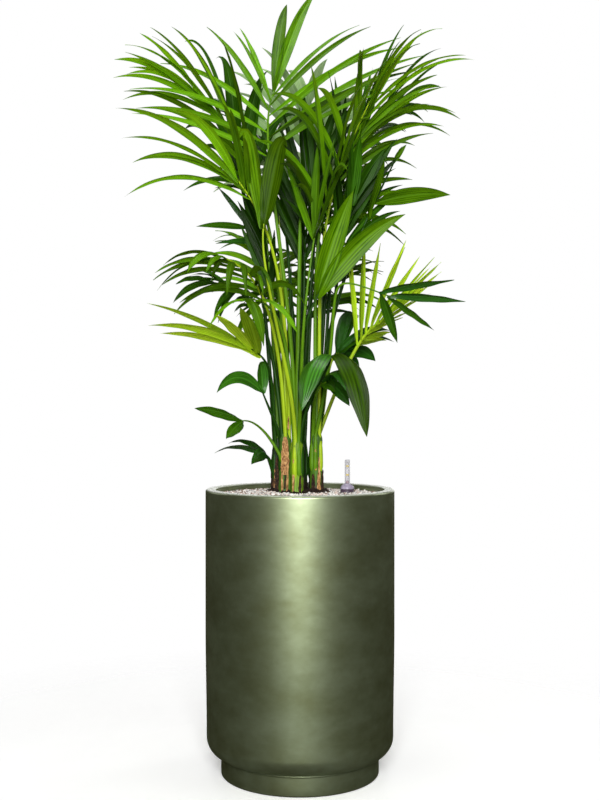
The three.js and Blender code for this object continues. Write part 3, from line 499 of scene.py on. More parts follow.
# ---- planter ----
def planter():
    inner = POT_RADIUS - RIM_WIDTH
    wall = POT_WAIST_RADIUS - WALL
    corner = PLINTH_HEIGHT + 2 + CORNER
    swell = [(POT_WAIST_RADIUS + (POT_RADIUS - POT_WAIST_RADIUS) * smooth(share),
              corner + (POT_STRAIGHT_FROM - corner) * share) for share in np.arange(1, 13) / 12]
    profile = [
        (0.5, 0), (PLINTH_RADIUS - 4, 0), *arc(PLINTH_RADIUS - 4, 4, 4, -90, 0, 6),
        (PLINTH_RADIUS, 20), (PLINTH_RADIUS, PLINTH_HEIGHT - 3),
        *arc(PLINTH_RADIUS + 3, PLINTH_HEIGHT - 1.4, 3, 180, 100, 5),
        *arc(POT_WAIST_RADIUS - CORNER, corner, CORNER, -86, 0, 20), *swell,
        (POT_RADIUS, 420), (POT_RADIUS, 520), (POT_RADIUS, POT_HEIGHT - 6),
        *arc(POT_RADIUS - 5, POT_HEIGHT - 5, 5, 0, 90, 8),
        *arc(inner + 2, POT_HEIGHT - 2, 2, 90, 180, 5),
        (inner, POT_HEIGHT - 12), (inner, POT_HEIGHT - RIM_DEPTH), (wall, POT_HEIGHT - RIM_DEPTH - 8),
        (wall, corner), (wall - CORNER + WALL, PLINTH_HEIGHT + FLOOR), (0.5, PLINTH_HEIGHT + FLOOR),
    ]
    return lathe("planter_shell", profile, 192, lacquer_look())


dress(planter(), "planter_lacquer", "planter")


# ---- filling ----
def set_look(node, material):
    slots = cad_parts[node].data.materials
    slots.clear()
    slots.append(material)


def ground(x, y):
    """Height of the gravel or soil."""
    base = GRAVEL_TOP + (ROOT_BALL_TOP - GRAVEL_TOP) * (1 - smooth((hypot(x, y) - 70) / 22))
    return base + 1.1 * grain(x * 0.045, y * 0.045, 3.1)


def near_stem(x, y):
    return min(hypot(x - s.x, y - s.y) - s.radius for s in STEMS.values())


def soil():
    skin = Skin()
    sides = 64
    edge = ROOT_BALL_RADIUS - 0.5
    rings = []
    for r in np.linspace(0.6, ROOT_BALL_RADIUS - 1, 25):
        ring = []
        for a in turns(sides):
            x, y = r * cos(a), r * sin(a)
            rough = 2.2 * grain(x * 0.11, y * 0.11, 7.7) + 1.2 * grain(x * 0.35, y * 0.35, 1.7)
            mound = 5.5 * (1 - smooth(near_stem(x, y) / 20)) if r < 70 else 0
            ring.append((x, y, min(ground(x, y), ROOT_BALL_TOP) - 0.6 + rough + mound))
        rings.append(ring)
    for r, z in ((edge, GRAVEL_TOP - 6), (edge, 548), (edge - 12.5, 431), (0.6, ROOT_BALL_BOTTOM + 0.5)):
        rings.append([(r * cos(a), r * sin(a), z) for a in turns(sides)])
    skin.sheet(rings, round_=True, flip=True)
    return skin.object("soil_mound", [peat_look])


dress(soil(), "peat", "root_ball")
set_look("growing_medium", peat_look)
set_look("gravel_bed", shadow_look)


def ball(steps):
    """Points and triangles of a unit icosphere."""
    golden = (1 + sqrt(5)) / 2
    corners = [unit(np.roll((a, b * golden, 0), k)) for k in range(3) for a in (-1, 1) for b in (-1, 1)]
    faces = np.array([t if np.linalg.det(t) > 0 else t[::-1] for t in combinations(corners, 3)
                      if t[0] @ t[1] > 0 and t[1] @ t[2] > 0 and t[2] @ t[0] > 0])
    for _ in range(steps):
        a, b, c = faces.swapaxes(0, 1)
        finer = ((a, a + b, c + a), (b, b + c, a + b), (c, c + a, b + c), (a + b, b + c, c + a))
        faces = np.concatenate([np.stack(t, 1) for t in finer])
        faces /= np.linalg.norm(faces, axis=2, keepdims=True)
    points, number = np.unique(np.round(faces.reshape(-1, 3), 9), axis=0, return_inverse=True)
    return points, number.reshape(-1, 3)


BALL_POINTS, BALL_FACES = ball(1)


def stones(name, spots, materials):
    """Many small uneven stones or crumbs as one mesh. A spot is x, y, z, radius and material number."""
    points, faces, looks = [], [], []
    for n, (x, y, z, radius, look) in enumerate(spots):
        turn, _ = np.linalg.qr(np.array([[dice.gauss(0, 1) for _ in range(3)] for _ in range(3)]))
        form = np.diag([radius * dice.uniform(0.95, 1.3), radius * dice.uniform(0.75, 1.05),
                        radius * dice.uniform(0.6, 0.85)])
        bumps = 1 + 0.14 * np.sin(BALL_POINTS @ (3.1, 4.3, 2.7) * 2 + n * 1.7)
        points.append((BALL_POINTS * bumps[:, None]) @ form @ turn.T + (x, y, z))
        mirrored = np.linalg.det(turn) < 0
        faces.append((BALL_FACES[:, ::-1] if mirrored else BALL_FACES) + n * len(BALL_POINTS))
        looks += [look] * len(BALL_FACES)
    made = new_object(name, np.concatenate(points) * MM, np.concatenate(faces).tolist(), materials, looks)
    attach(made, "root")


def gravel():
    """Pebbles on the bed and over the root ball, open round the stems."""
    spots = []
    step, line = 5.4, 5.4 * 0.866
    reach = POT_RADIUS - RIM_WIDTH - 3
    rows = int(reach / line) + 1
    for j in range(-rows, rows + 1):
        for i in range(-rows - 6, rows + 7):
            x = (i + 0.5 * (j % 2)) * step + dice.uniform(-1.6, 1.6)
            y = j * line + dice.uniform(-1.6, 1.6)
            if hypot(x, y) > reach or hypot(x - GAUGE[0], y - GAUGE[1]) < 15.5:
                continue
            room = near_stem(x, y)
            bare = (17 if x > -12 else 3) + 12 * grain(x * 0.03, y * 0.03, 5.5)
            if room < bare and hypot(x, y) < 88 or room < 2.5:
                continue
            radius = dice.uniform(2.5, 4)
            look = dice.choices((0, 1, 2, 3), (40, 32, 18, 10))[0]
            spots.append((x, y, ground(x, y) + radius * dice.uniform(-0.1, 0.45), radius, look))
    stones("gravel_pebbles", spots, pebble_looks)


def crumbs():
    """Crumbs of soil heaped against the stems, with coarser ones in front."""
    spots = []
    while len(spots) < 420:
        x, y = dice.uniform(-75, 78), dice.uniform(-55, 82)
        room = near_stem(x, y)
        if 0.5 < room < 24 and (x > -15 or dice.random() < 0.35):
            radius = dice.uniform(1.2, 4.2) * (1 - 0.4 * smooth(room / 24))
            height = 5.5 * (1 - smooth(room / 20))
            spots.append((x, y, ROOT_BALL_TOP + height + dice.uniform(-0.5, 1.6), radius, 0))
    while len(spots) < 500:
        x, y = dice.uniform(6, 60), dice.uniform(-36, 24)
        room = near_stem(x, y)
        if 2 < room < 13:
            radius = dice.uniform(3, 5.5)
            spots.append((x, y, ROOT_BALL_TOP + 2 + dice.uniform(0, 7) * (1 - room / 18), radius, 0))
    stones("soil_crumbs", spots, [crumb_look])


gravel()
crumbs()


# ---- water gauge ----
def gauge_pieces():
    hard = rough_look("gauge_cap_plastic", ("382c38", "574958"), 60, 0.42, 0.1, 0.0002)
    dome = rough_look("gauge_dome_plastic", ("8b8196", "b6adc2"), 60, 0.35, 0.1, 0.0002)
    red = rough_look("gauge_red_plastic", ("8c0c0c", "b41c18"), 200, 0.35, 0.1, 0.0001)
    mark = rough_look("gauge_mark_paint", ("c4ae58", "d8c67c"), 300, 0.5, 0.1, 0.0001)
    clear = Look("gauge_clear_plastic", Roughness=0.2, IOR=1.46, Alpha=0.36)
    haze = clear.noise("Object", (1, 1, 0.3), 120, 3)
    clear.shade(Base_Color=clear.ramp(haze, (0.3, "c2c0c7"), (0.7, "d3d1d7")))
    cap, outer, bore = GAUGE_CAP_HEIGHT, GAUGE_TUBE_RADIUS, GAUGE_TUBE_BORE
    lower = [(0.4, 0), (14.2, 0), *arc(14, 1, 1, -90, 0, 4), (15, 3), (15, 6.2), (14.4, 6.8), (14.4, 7.6),
             (15, 8.2), (15, 9.6), (13.5, 9.6), (0.4, 9.6)]
    upper = [(0.4, 9.6), (14.5, 9.6), (15, 9.6), *arc(6.4, 10.8, 8.4, 0, 70, 10), (8, 19.4), (7.4, 19.7),
             (7.2, cap), (4, cap), (4, cap - 3), (0.4, cap - 3)]
    foot = cap + GAP
    high = foot + GAUGE_TUBE_HEIGHT
    tube = [(bore, foot), (outer, foot), (outer, high - 1.6), *arc(outer - 1.6, high - 1.6, 1.6, 0, 90, 5),
            (0.3, high), (0.3, high - 2), (bore - 0.6, high - 2), (bore, high - 2.8), (bore, foot)]
    bob = [(0.3, foot), (2.9, foot), (3.2, foot + 0.5), (3.2, foot + 5), (2.4, foot + 6), (0.3, foot + 6)]
    dress(lathe("gauge_cap_base", lower, 56, hard, GAUGE), "gauge_cap", "gauge_cap")
    dress(lathe("gauge_cap_dome", upper, 56, dome, GAUGE), "gauge_cap", "gauge_cap")
    dress(lathe("gauge_tube_clear", tube, 40, clear.material, GAUGE), "gauge_clear", "gauge_tube")
    dress(lathe("gauge_float_red", bob, 28, red, GAUGE), "gauge_red", "gauge_float")
    marks = Skin()
    outside = outer + 0.15
    for z in (foot + 19, foot + 38):
        rows = [[(GAUGE[0] + outside * cos(a), GAUGE[1] + outside * sin(a), GAUGE[2] + z + h)
                 for a in np.radians(np.linspace(-122, -58, 9))] for h in np.linspace(-1.7, 1.7, 4)]
        marks.sheet(rows)
    marks.object("gauge_marks", [mark])


gauge_pieces()


# ---- stems ----
def stem_look(name, greens, browns, edge):
    """Green sheath that turns to brown fibre below the height edge, in metres."""
    look = Look(name, Roughness=0.55, Specular_IOR_Level=0.35)
    streak = look.noise("UV", (1.4, 22, 1), 1, 5, 0.65)
    patch = look.noise("Object", (28, 28, 13), 1, 3, 0.6)
    green = look.ramp(streak, *zip((0.3, 0.7), greens))
    brown = look.ramp(streak, *zip((0.28, 0.5, 0.75), browns))
    rise = look.math("MULTIPLY", look.math("SUBTRACT", look.axis("Object", "Z"), edge), 14)
    share = look.ramp(look.math("ADD", rise, patch), (0.42, 1), (0.56, 0))
    look.shade(Base_Color=look.mix(share, green, brown))
    look.bump(streak, 0.9, 0.0016)
    return look.material


def stem_bark(key, material):
    """The cane with a lobe under each of its stalks, drawn in above its top."""
    stem = STEMS[key]
    sides, rows = 56, 64
    seats = [radians(f.seat) for f in FRONDS if f.stem == key]
    skin = Skin()
    rings = []
    low, top = STEM_FOOT - 3, stem.top + 16
    shift = ord(key)
    for z in np.linspace(low, top, rows + 1):
        base = stem.radius_at(min(max(z, STEM_FOOT), stem.top)) - 0.7
        close = smooth((z - stem.top + 12) / 28)
        ring = []
        for a in turns(sides):
            lobe = sum(exp(-(remainder(a - s, 2 * pi) / 0.38) ** 2) for s in seats)
            fibre = grain(cos(a) * 6 + shift, sin(a) * 6, z * 0.012)
            flake = grain(cos(a) * 2.4 + shift, sin(a) * 2.4, z * 0.05)
            r = base * (1 - 0.62 * close) + 0.8 * min(lobe, 1.3) + 0.8 * fibre + 0.9 * flake
            ring.append(stem.around(r + 1.6 * (1 - smooth((z - STEM_FOOT) / 9)), a, z))
        rings.append(ring)
    rings.append([stem.around(0.5, a, top + 1) for a in turns(sides)])
    skin.sheet(rings, round_=True)
    dress(skin.object(f"stem_{key.lower()}_bark", [material]), "stem_fibre", f"stem_{key.lower()}")


# Sheath and bark of a dark, a green and a bright cane. The dark cane, on the rear stems A, D and F, is
# painted shade at the back of the clump, on A partly its own dark fibre. STEM_LOOKS adds the height where
# they meet.
SHADE_AND_DARK_FIBRE_CANE = ("071703", "1c3b0a"), ("090503", "1d120b", "4a3523")
GREEN_CANE = ("1a3b07", "4c7714"), ("120a05", "3a2616", "87653f")
BRIGHT_CANE = ("38600a", "82a31f"), GREEN_CANE[1]
STEM_LOOKS = {"A": (*SHADE_AND_DARK_FIBRE_CANE, 0.64), "B": (*GREEN_CANE, 0.6), "C": (*BRIGHT_CANE, 0.58),
              "D": (*SHADE_AND_DARK_FIBRE_CANE, 0.615), "E": (*GREEN_CANE, 0.6), "F": (*SHADE_AND_DARK_FIBRE_CANE, 0.62)}
for key, values in STEM_LOOKS.items():
    stem_bark(key, stem_look(f"stem_{key.lower()}_sheath", *values))

# Dry sheath left on the stems: stem, angle, low, high, width, lean, lift of the top, look
STRIPS = [
    ("B", -92, 630, 710, 17, 0.03, 1, 0), ("B", -112, 592, 650, 5, -0.12, 3, 0),
    ("B", -78, 591, 646, 5, 0.12, 2.5, 0), ("B", -95, 600, 640, 4, 0.1, 1.5, 1),
    ("B", -66, 726, 752, 4, 0.02, 1, 0), ("C", -122, 596, 664, 5, 0.05, 2, 0),
    ("C", -70, 592, 630, 6, 0.12, 2.5, 1), ("E", -96, 640, 684, 5, -0.05, 2, 0),
    ("E", -66, 598, 668, 5, -0.08, 2, 0), ("E", -82, 592, 640, 4, 0.1, 2.5, 0),
    ("E", -118, 592, 632, 9, 0.05, 2, 1), ("A", -96, 592, 664, 14, 0.03, 2, 1),
    ("A", -150, 592, 650, 12, -0.06, 3, 1), ("A", -120, 600, 640, 4, 0.1, 2, 0),
    ("F", -70, 592, 650, 9, 0.05, 2, 1), ("D", -100, 592, 655, 9, 0, 2, 1),
    ("E", -40, 592, 640, 9, 0.05, 2, 1), ("A", 170, 594, 650, 9, 0, 2, 1),
    ("F", 20, 592, 650, 12, 0, 2, 0), ("D", 90, 592, 660, 14, 0, 2, 0),
    ("F", 100, 592, 668, 10, 0.05, 2, 1), ("A", 90, 592, 655, 12, 0, 2, 0),
]


def fibre_strips():
    """Thin papery strips that lie round the stems with ragged edges."""
    skin = Skin()
    for n, (key, angle, low, high, wide, lean, lift, look) in enumerate(STRIPS):
        stem = STEMS[key]
        rows, places = [], []
        for s in np.linspace(0, 1, 33):
            z = low + (high - low) * s
            half = wide / 2 * (0.35 + 0.65 * sin(pi * min(1, 0.22 + 0.78 * s)) ** 0.6)
            row, place = [], []
            for v in np.linspace(-1, 1, 9):
                torn = 1 + 0.3 * grain(n * 3.1 + v * 2, z * 0.11, 1.9)
                radius = stem.radius_at(min(z, stem.top)) + (3.6 if wide > 14 else 1.6)
                radius += 0.7 * grain(n * 5.3 + v * 1.5, z * 0.07, 4.4)
                radius += lift * smooth(s * 4 - 3) + 0.7 * abs(v) ** 3
                a = radians(angle) + v * half * torn / radius + lean * s
                rise = 5 * grain(n * 2.3, v * 3.1, 8.8) * smooth(s * 3 - 2)
                row.append(stem.around(radius, a, z + rise))
                place.append((z / 40, v))
            rows.append(row)
            places.append(place)
        skin.sheet(rows, places, look)
    tan = rough_look("papery_tan", ("3a2414", "8a6038", "b58a58", "d6b384"), 330, 0.8, 0.9, 0.0014,
                     (0.34, 0.45, 0.58, 0.74), (1, 1, 0.4))
    brown = rough_look("papery_brown", ("0b0603", "2a190e", "694628"), 330, 0.85, 0.9, 0.0014,
                       (0.38, 0.52, 0.7), (1, 1, 0.4))
    skin.object("stem_fibre_strips", [tan, brown])


fibre_strips()


# ---- stalks and ribs ----
CURVE_STEPS = 200


def bezier(t, foot, first, last, tip):
    return (1 - t) ** 3 * foot + 3 * (1 - t) ** 2 * t * first + 3 * (1 - t) * t * t * last + t ** 3 * tip


def rib_points(frond):
    """Evenly spaced points of a rib as the part's source has them, its length, and its fine curve."""
    stem = STEMS[frond.stem]
    seat = radians(frond.seat)
    if frond.foot:
        foot = stem.around(stem.radius_at(frond.foot) + STALK_FOOT * 0.7 + GAP, seat, frond.foot)
    else:
        height = stem.top + GAP + STALK_FOOT * sin(radians(frond.rise[1]))
        foot = stem.around(stem.radius - STALK_INSET, seat, height)
    reach, heading, height = frond.tip
    tip = stem.around(reach, radians(heading), height)
    handles = (foot, foot + aim(*frond.rise[1:]) * frond.rise[0],
               tip - aim(*frond.fall[1:]) * frond.fall[0], tip)
    t = np.linspace(0, 1, CURVE_STEPS + 1)[:, None]
    curve = bezier(t, *handles)
    walked = np.r_[0, np.cumsum(np.linalg.norm(np.diff(curve, axis=0), axis=1))]
    even = np.interp(np.linspace(0, walked[-1], RIB_SPANS + 1), walked, t[:, 0])[:, None]
    return bezier(even, *handles), walked[-1], curve


def along_rib(points, share):
    reached = min(max(share, 0), 1) * RIB_SPANS
    i = min(int(reached), RIB_SPANS - 1)
    point = points[i] + (points[i + 1] - points[i]) * (reached - i)
    return point, unit(points[min(i + 2, RIB_SPANS)] - points[max(i - 1, 0)])


def rib_radius(share):
    grow = min(share / 0.1, 1)
    fade = min(max((share - 0.3) / 0.7, 0), 1)
    return STALK_FOOT + (STALK_RADIUS - STALK_FOOT) * grow - (STALK_RADIUS - STALK_TIP) * fade


def across(frond, direction):
    """The frond's own side and upper side where its rib runs in a direction."""
    face = radians(frond.face)
    flat = np.array([-sin(face), cos(face), 0])
    side = unit(flat - direction * flat.dot(direction))
    return side, np.cross(direction, side)


def stalk_path(frond, curve):
    """Centre points and radii of a stalk, from its sheath on the stem to the rib's end."""
    stem = STEMS[frond.stem]
    seat = radians(frond.seat)
    start = np.hypot(*(curve[0][:2] - (stem.x, stem.y)))
    if frond.foot:
        depth, slope, thicker = 22, 16, 0.6
    else:
        depth, slope, thicker = min(86, curve[0][2] - STEM_FOOT - 6), 34, 1.5
    points, radii = [], []
    for s in np.linspace(depth, 3, 10):
        z = curve[0][2] - s
        near = stem.radius_at(min(z, stem.top)) - 2.2
        ring = start + (near - start) * smooth(s / slope) - 6 * smooth((s - depth + 18) / 18)
        points.append(stem.around(ring, seat, z))
        radii.append(STALK_RADIUS + thicker * smooth(s / 60))
    for k in range(0, CURVE_STEPS + 1, 5):
        share = k / CURVE_STEPS
        points.append(curve[k])
        radii.append(max(STALK_RADIUS if share < 0.3 else rib_radius(share), STALK_TIP * 0.7))
    return np.array(points), np.array(radii)


def add_stalk(skin, frond, curve, look):
    points, radii = stalk_path(frond, curve)
    sides = 10
    rows = []
    for k, (point, radius) in enumerate(zip(points, radii)):
        side, upper = across(frond, unit(points[min(k + 1, len(points) - 1)] - points[max(k - 1, 0)]))
        groove = 0.22 * smooth((k - 12) / 8)
        rows.append([point + radius * (1 - groove * max(0, sin(a)) ** 3)
                     * (side * cos(a) + upper * sin(a) * 0.9) for a in turns(sides)])
    end = points[-1] + unit(points[-1] - points[-2]) * 4
    rows.append([end + 0.25 * (p - points[-1]) for p in rows[-1]])
    skin.sheet(rows, look=look, length=len(rows) * 0.14, round_=True)


# ---- leaflets ----
@dataclass
class Leaf:
    """One leaflet: where it springs, which way it heads and looks, and its sizes."""
    point: np.ndarray
    heading: np.ndarray
    top: np.ndarray
    long: float
    width: float
    droop: float
    bend: float
    peak: float

    def direction(self, share):
        return unit(self.heading - UP * self.droop * share ** self.bend)

    def path(self, steps):
        """Points, directions and upper sides along the leaflet, which bows down as it goes."""
        points, directions, tops = [self.point], [], []
        top = self.top
        for i in range(steps + 1):
            direction = self.direction(i / steps)
            top = unit(top - direction * top.dot(direction))
            directions.append(direction)
            tops.append(top)
            if i < steps:
                points.append(points[-1] + self.direction((i + 0.5) / steps) * self.long / steps)
        return points, directions, tops

    def half_width(self, u):
        grow = 0.28 + 0.72 * sin(pi / 2 * min(u / self.peak, 1))
        fade = 1 - min(max((u - self.peak) / (1 - self.peak), 0), 1) ** 2.1
        return max(self.width / 2 * grow * fade, 0.25)


def leaf_at(frond, pair, sign, points, length, tweak):
    """The leaflet of one pair and side, by the rule of the part's source."""
    last = pair == frond.pairs - 1
    q = pair / (frond.pairs - 1) if frond.pairs > 1 else 1
    share = frond.bare + (1 - frond.bare) * q
    if not last:
        share = min(1, share + 0.3 * sign * (1 - frond.bare) / frond.pairs)
    point, direction = along_rib(points, share - LEAF_SUNK / length)
    side0, upper0 = across(frond, direction)
    roll = radians(frond.roll)
    side = side0 * cos(roll) + upper0 * sin(roll)
    upper = upper0 * cos(roll) - side0 * sin(roll)
    c1, c2, c3 = (chance(frond.seed, pair, sign, n) for n in (1, 2, 3))
    low, high, fork = frond.spread
    spread = radians((fork if last else low + (high - low) * q + (c1 - 0.5) * 15) + tweak[0])
    lift = radians(frond.lift + (c2 - 0.5) * 26 + tweak[1])
    out = side * sign * cos(lift) + upper * sin(lift)
    heading = unit(direction * cos(spread) + out * sin(spread))
    top = upper * cos(lift) - side * sign * sin(lift)
    if last:
        size, broad = frond.end
    else:
        size = 0.6 + 0.4 * sin(pi * (0.3 + 0.62 * q))
        broad = 0.8 + 0.2 * sin(pi * min(1, 0.15 + 0.85 * q))
    long, width = frond.leaf
    return Leaf(point, heading, unit(top - heading * top.dot(heading)),
                long * size * (0.92 + 0.16 * c3) * (1 + frond.skew * sign) * tweak[3], width * broad,
                frond.droop * (0.75 + 0.5 * c1) * tweak[2], frond.bend, frond.peak)


def add_leaf(skin, leaf, look, luck):
    """One leaflet as two half blades that meet at the midrib's fold."""
    steps = 28
    points, directions, tops = leaf.path(steps)
    curl = 0.1 + 0.14 * luck[0]
    twist = (luck[1] - 0.5) * 0.7
    wave = 0.25 + 0.5 * luck[2]
    for sign in (1, -1):
        rows, places = [], []
        for i in range(steps + 1):
            u = i / steps
            half = leaf.half_width(u)
            base = 1 - smooth(u / 0.16)
            fold = 0.24 + 0.75 * base
            turn = twist * smooth(u)
            flat = np.cross(directions[i], tops[i])
            side = flat * cos(turn) + tops[i] * sin(turn)
            upper = tops[i] * cos(turn) - flat * sin(turn)
            row, place = [], []
            for v in (0, 0.25, 0.5, 0.75, 1):
                drop = half * (fold * v + curl * v * v)
                drop += wave * v * v * sin(u * 21 + sign * 1.3 + luck[0] * 6) * smooth(u * 4)
                out = sign * half * v * (1 - 0.25 * base)
                row.append(points[i] + side * out + upper * (half * 0.24 - drop))
                place.append((u * leaf.long / 100, sign * v))
            rows.append(row)
            places.append(place)
        skin.sheet(rows, places, look, flip=sign < 0)


def companion(leaf, sign, luck):
    """A slimmer leaflet that springs from the rib just below another and stays short of its tip."""
    side = np.cross(leaf.heading, leaf.top)
    turn = radians(-sign * (2.5 + 3.5 * luck[0]))
    ahead = unit(leaf.heading * cos(turn) + side * sin(turn) - leaf.top * (0.03 + 0.05 * luck[1]))
    over = unit(leaf.top - ahead * leaf.top.dot(ahead))
    return replace(leaf, point=leaf.point - over * 2, heading=ahead, top=over, width=leaf.width * 0.62,
                   long=leaf.long * (0.84 + 0.1 * luck[2]), droop=leaf.droop * 1.1)


# How much lighter or darker a frond is than its place tells: partly the frond's own tone, partly painted
# light and shade
FROND_TONE_AND_PAINTED_LIGHT = {
    "crown_front": 0.7, "left_low": 0.9, "right_lime": 1.2, "left_high": 0.1, "left_front": -0.2,
    "front_pair": -0.7, "mid_pair": -1, "front_low": -2.6, "right_droop": -0.5, "right_mid": -0.5,
    "left_tall": -0.7, "centre_dark": -0.7, "left_mid": -0.4,
}
GLOSSY = ("front_low", "right_droop", "left_mid", "right_low_front", "young_low", "young_left", "young_mid",
          "right_low")
GLOSS = 4
# Fronds with few slim leaflets between the others, and some that are fuller than most
SPARSE = ("crown_front", "left_high", "left_front", "left_droop", "right_high", "right_fan", "left_back")
FULL = {"right_lime": 1, "right_low": 0.9}
# Stalk looks; the third, dark one is painted shade
GREEN, YELLOW, PAINTED_SHADE_STALK = 0, 1, 2
YELLOW_CANES = ("front_pair", "left_front", "left_droop", "right_lime", "right_low", "right_high")
REAR_STEMS_IN_SHADE = "ADF"


def pick_painted_light_level(frond, leaf, luck):
    """Painted light and shade: leaflets deep in the crown take the dark copies more often than those at its
    edge, and high ones the lighter.
    """
    if frond.name in GLOSSY and luck < 0.7:
        return GLOSS
    x, y, z = leaf.point + leaf.heading * leaf.long * 0.5
    outside = smooth((hypot(x, y) - 50) / 260)
    level = luck * 2.4 + 1.3 * outside + 0.5 * smooth((z - 900) / 600)
    return int(min(max(level + FROND_TONE_AND_PAINTED_LIGHT.get(frond.name, 0), 0), 3.9))


def pick_cane(frond, index):
    if frond.name in YELLOW_CANES:
        return YELLOW
    # Stalks of the rear stems, and some others at random, take the dark look: painted shade among the canes
    return PAINTED_SHADE_STALK if frond.stem in REAR_STEMS_IN_SHADE or chance(index, 2, 1, 9) > 0.7 else GREEN


def surface_tree(node):
    """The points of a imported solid, to be searched for the one nearest to a place."""
    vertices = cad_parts[node].data.vertices
    tree = kdtree.KDTree(len(vertices))
    for n, vertex in enumerate(vertices):
        tree.insert(vertex.co, n)
    tree.balance()
    return tree


def first_clear(frond, pair, sign, points, length, tree):
    """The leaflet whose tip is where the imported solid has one, or None where it was left out."""
    for tweak in TWEAKS:
        leaf = leaf_at(frond, pair, sign, points, length, tweak)
        if tree.find(Vector(leaf.path(LEAF_STEPS)[0][-1] * MM))[2] < 0.3 * MM:
            return leaf
    return None


def add_frond(index, frond, skin, stalks):
    points, length, curve = rib_points(frond)
    add_stalk(stalks, frond, curve, pick_cane(frond, index))
    tree = surface_tree("frond_" + frond.name)
    slimmer = 1 if frond.pairs < 4 or frond.name in FULL else 0.8
    crowded = 0.28 if frond.name in SPARSE else FULL.get(frond.name, 0.66)
    for pair in range(frond.pairs):
        for sign in (1, -1):
            leaf = first_clear(frond, pair, sign, points, length, tree)
            if not leaf:
                continue
            luck, other = ([chance(index, pair, sign, n + k) for k in range(4)] for n in (5, 15))
            add_leaf(skin, replace(leaf, width=leaf.width * slimmer), pick_painted_light_level(frond, leaf, luck[3]), luck)
            if frond.pairs > 3 and pair < frond.pairs - 1 and chance(index, pair, sign, 19) < crowded:
                add_leaf(skin, companion(leaf, sign, other), pick_painted_light_level(frond, leaf, other[3] - 0.25), other)


# Unopened leaves that stand in the middle of the stems: stem, lean to +X and +Y, tip's height, radius, look.
# The dark ones, leaning back, are painted shade that fills the gaps between the front canes.
SPEARS = [
    ("A", -26, 30, 1120, 5, GREEN), ("B", -14, 34, 1190, 5.4, YELLOW), ("C", 8, 26, 1260, 5.2, GREEN),
    ("D", 2, 40, 1230, 5.6, PAINTED_SHADE_STALK), ("E", 16, 38, 1170, 5.2, GREEN), ("F", 30, 34, 1140, 5.4, PAINTED_SHADE_STALK),
    ("A", 2, 52, 1060, 4.6, PAINTED_SHADE_STALK), ("D", -30, 22, 1090, 5, PAINTED_SHADE_STALK), ("D", 30, 18, 1120, 5, PAINTED_SHADE_STALK),
    ("F", 2, 46, 1060, 4.8, PAINTED_SHADE_STALK), ("C", 26, 60, 1080, 4.6, PAINTED_SHADE_STALK), ("B", 14, 62, 1100, 4.6, PAINTED_SHADE_STALK),
]


def add_spear(skin, stem, east, north, high, radius, look):
    """A slim rolled leaf that tapers to a point."""
    foot = np.array([stem.x, stem.y, stem.top - 6])
    rows = []
    for t in np.linspace(0, 1, 29):
        bow = t ** 1.4
        centre = foot + (east * bow, north * bow, (high - foot[2]) * t)
        fat = radius * (1 - 0.25 * t) * (1 - smooth((t - 0.72) / 0.28) * 0.96)
        rows.append([centre + fat * (1 + 0.12 * cos(a * 3 + t * 9)) * np.array([cos(a), sin(a), 0])
                     for a in turns(10)])
    skin.sheet(rows, look=look, length=5, round_=True)


def plant():
    stalks = Skin()
    skins = {tone: Skin() for tone in LEAF_TONES}
    for index, frond in enumerate(FRONDS):
        add_frond(index, frond, skins[frond.tone], stalks)
    for tone, skin in skins.items():
        nodes = ["frond_" + f.name for f in FRONDS if f.tone == tone]
        dress(skin.object(f"leaves_{tone}", leaf_looks[tone]), f"leaf_{tone}", *nodes)
    for key, *values in SPEARS:
        add_spear(stalks, STEMS[key], *values)
    stalks.object("frond_stalks", stalk_looks)


plant()


# ---- stage ----
def floor_look():
    """Pale floor that melts into the white of the backdrop away from the planter."""
    look = Look("studio_floor", Roughness=0.6, Specular_IOR_Level=0.2, Emission_Color=(1, 1, 1),
                Emission_Strength=0.27)
    away = look.node("VectorMath", operation="LENGTH")
    look.put(away.inputs[0], look.node("TexCoord").outputs["Object"])
    soft = look.noise("Object", (1, 1, 1), 3)
    look.shade(Base_Color=look.ramp(soft, (0.3, 0.86), (0.7, 0.9)))
    fade = look.ramp(look.math("MULTIPLY", away.outputs["Value"], 0.5), (0.16, 0), (0.62, 1))
    return look.blended(fade, look.shader, look.node("BsdfTransparent"))


def white_look():
    look = Look("studio_white")
    return look.surface(look.node("Emission").outputs[0])


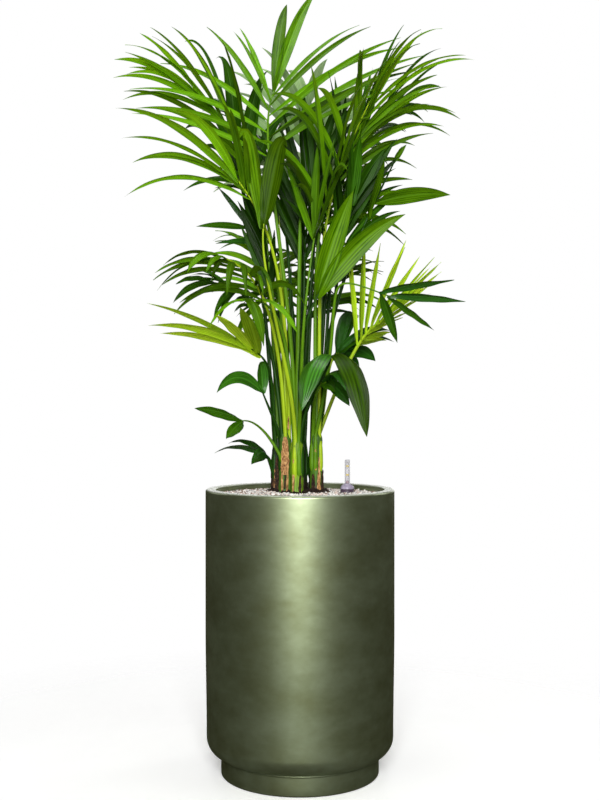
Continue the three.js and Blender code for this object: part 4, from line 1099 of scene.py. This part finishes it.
def stage():
    """A round floor just under the planter, and a white sphere that only the camera sees."""
    radii, sides, level = (0.3, 0.6, 1, 1.5, 2.2), 64, -0.0006
    points = [(0, 0, level)] + [(r * cos(a), r * sin(a), level) for r in radii for a in turns(sides)]
    following = [(i, (i + 1) % sides) for i in range(sides)]
    faces = [(0, 1 + i, 1 + j) for i, j in following]
    for inner in range(1, (len(radii) - 1) * sides, sides):
        outer = inner + sides
        faces += [(inner + i, outer + i, outer + j, inner + j) for i, j in following]
    disc = new_object("studio_floor", np.array(points), faces, [floor_look()])
    disc.visible_glossy = False
    sphere, triangles = ball(3)
    back = new_object("studio_backdrop", sphere * 16, triangles[:, ::-1].tolist(), [white_look()])
    for flag in ("visible_diffuse", "visible_glossy", "visible_transmission", "visible_shadow"):
        setattr(back, flag, False)


def area_light(name, place, target, size, power, tint=(1, 1, 1)):
    data = bpy.data.lights.new(name, "AREA")
    data.shape = "RECTANGLE"
    data.size, data.size_y = size
    data.energy = power
    data.color = tint
    lamp = in_scene(name, data)
    lamp.location = place
    lamp.rotation_euler = (Vector(target) - Vector(place)).to_track_quat("-Z", "Y").to_euler()


stage()
area_light("key", (0, -3.4, 1.62), (0, 0, 0.9), (1.05, 1.6), 186)
area_light("back_card", (0.5, 3.2, 0.95), (0, 0, 0.9), (2.6, 0.9), 16)
area_light("top", (0, 0.1, 3.6), (0, 0, 1), (1.6, 1.6), 46)
area_light("back_left", (-2.6, 1.6, 1.9), (0, 0, 1.2), (0.7, 1.6), 7, (1, 1, 0.97))
area_light("back_right", (2.6, 1.6, 1.9), (0, 0, 1.2), (0.7, 1.6), 14, (1, 1, 0.97))

world = bpy.data.worlds.new("studio")
bpy.context.scene.world = world
world.use_nodes = True
sky = world.node_tree.nodes["Background"].inputs
sky["Color"].default_value = (1, 0.93, 0.4, 1)
sky["Strength"].default_value = 0.022
bpy.context.scene.view_settings.view_transform = "Standard"

# ---- camera, as far from the planter and as high as the photograph's ----
CAMERA_AWAY, CAMERA_HEIGHT, CAMERA_LENS = 2.456, 0.788, 52.05
camera_data = bpy.data.cameras.new("camera")
camera_data.lens = CAMERA_LENS
camera_data.sensor_width = 36
camera = in_scene("camera", camera_data)
camera.location = (0, -CAMERA_AWAY, CAMERA_HEIGHT)
camera.rotation_euler = (pi / 2, 0, 0)
bpy.context.scene.camera = camera
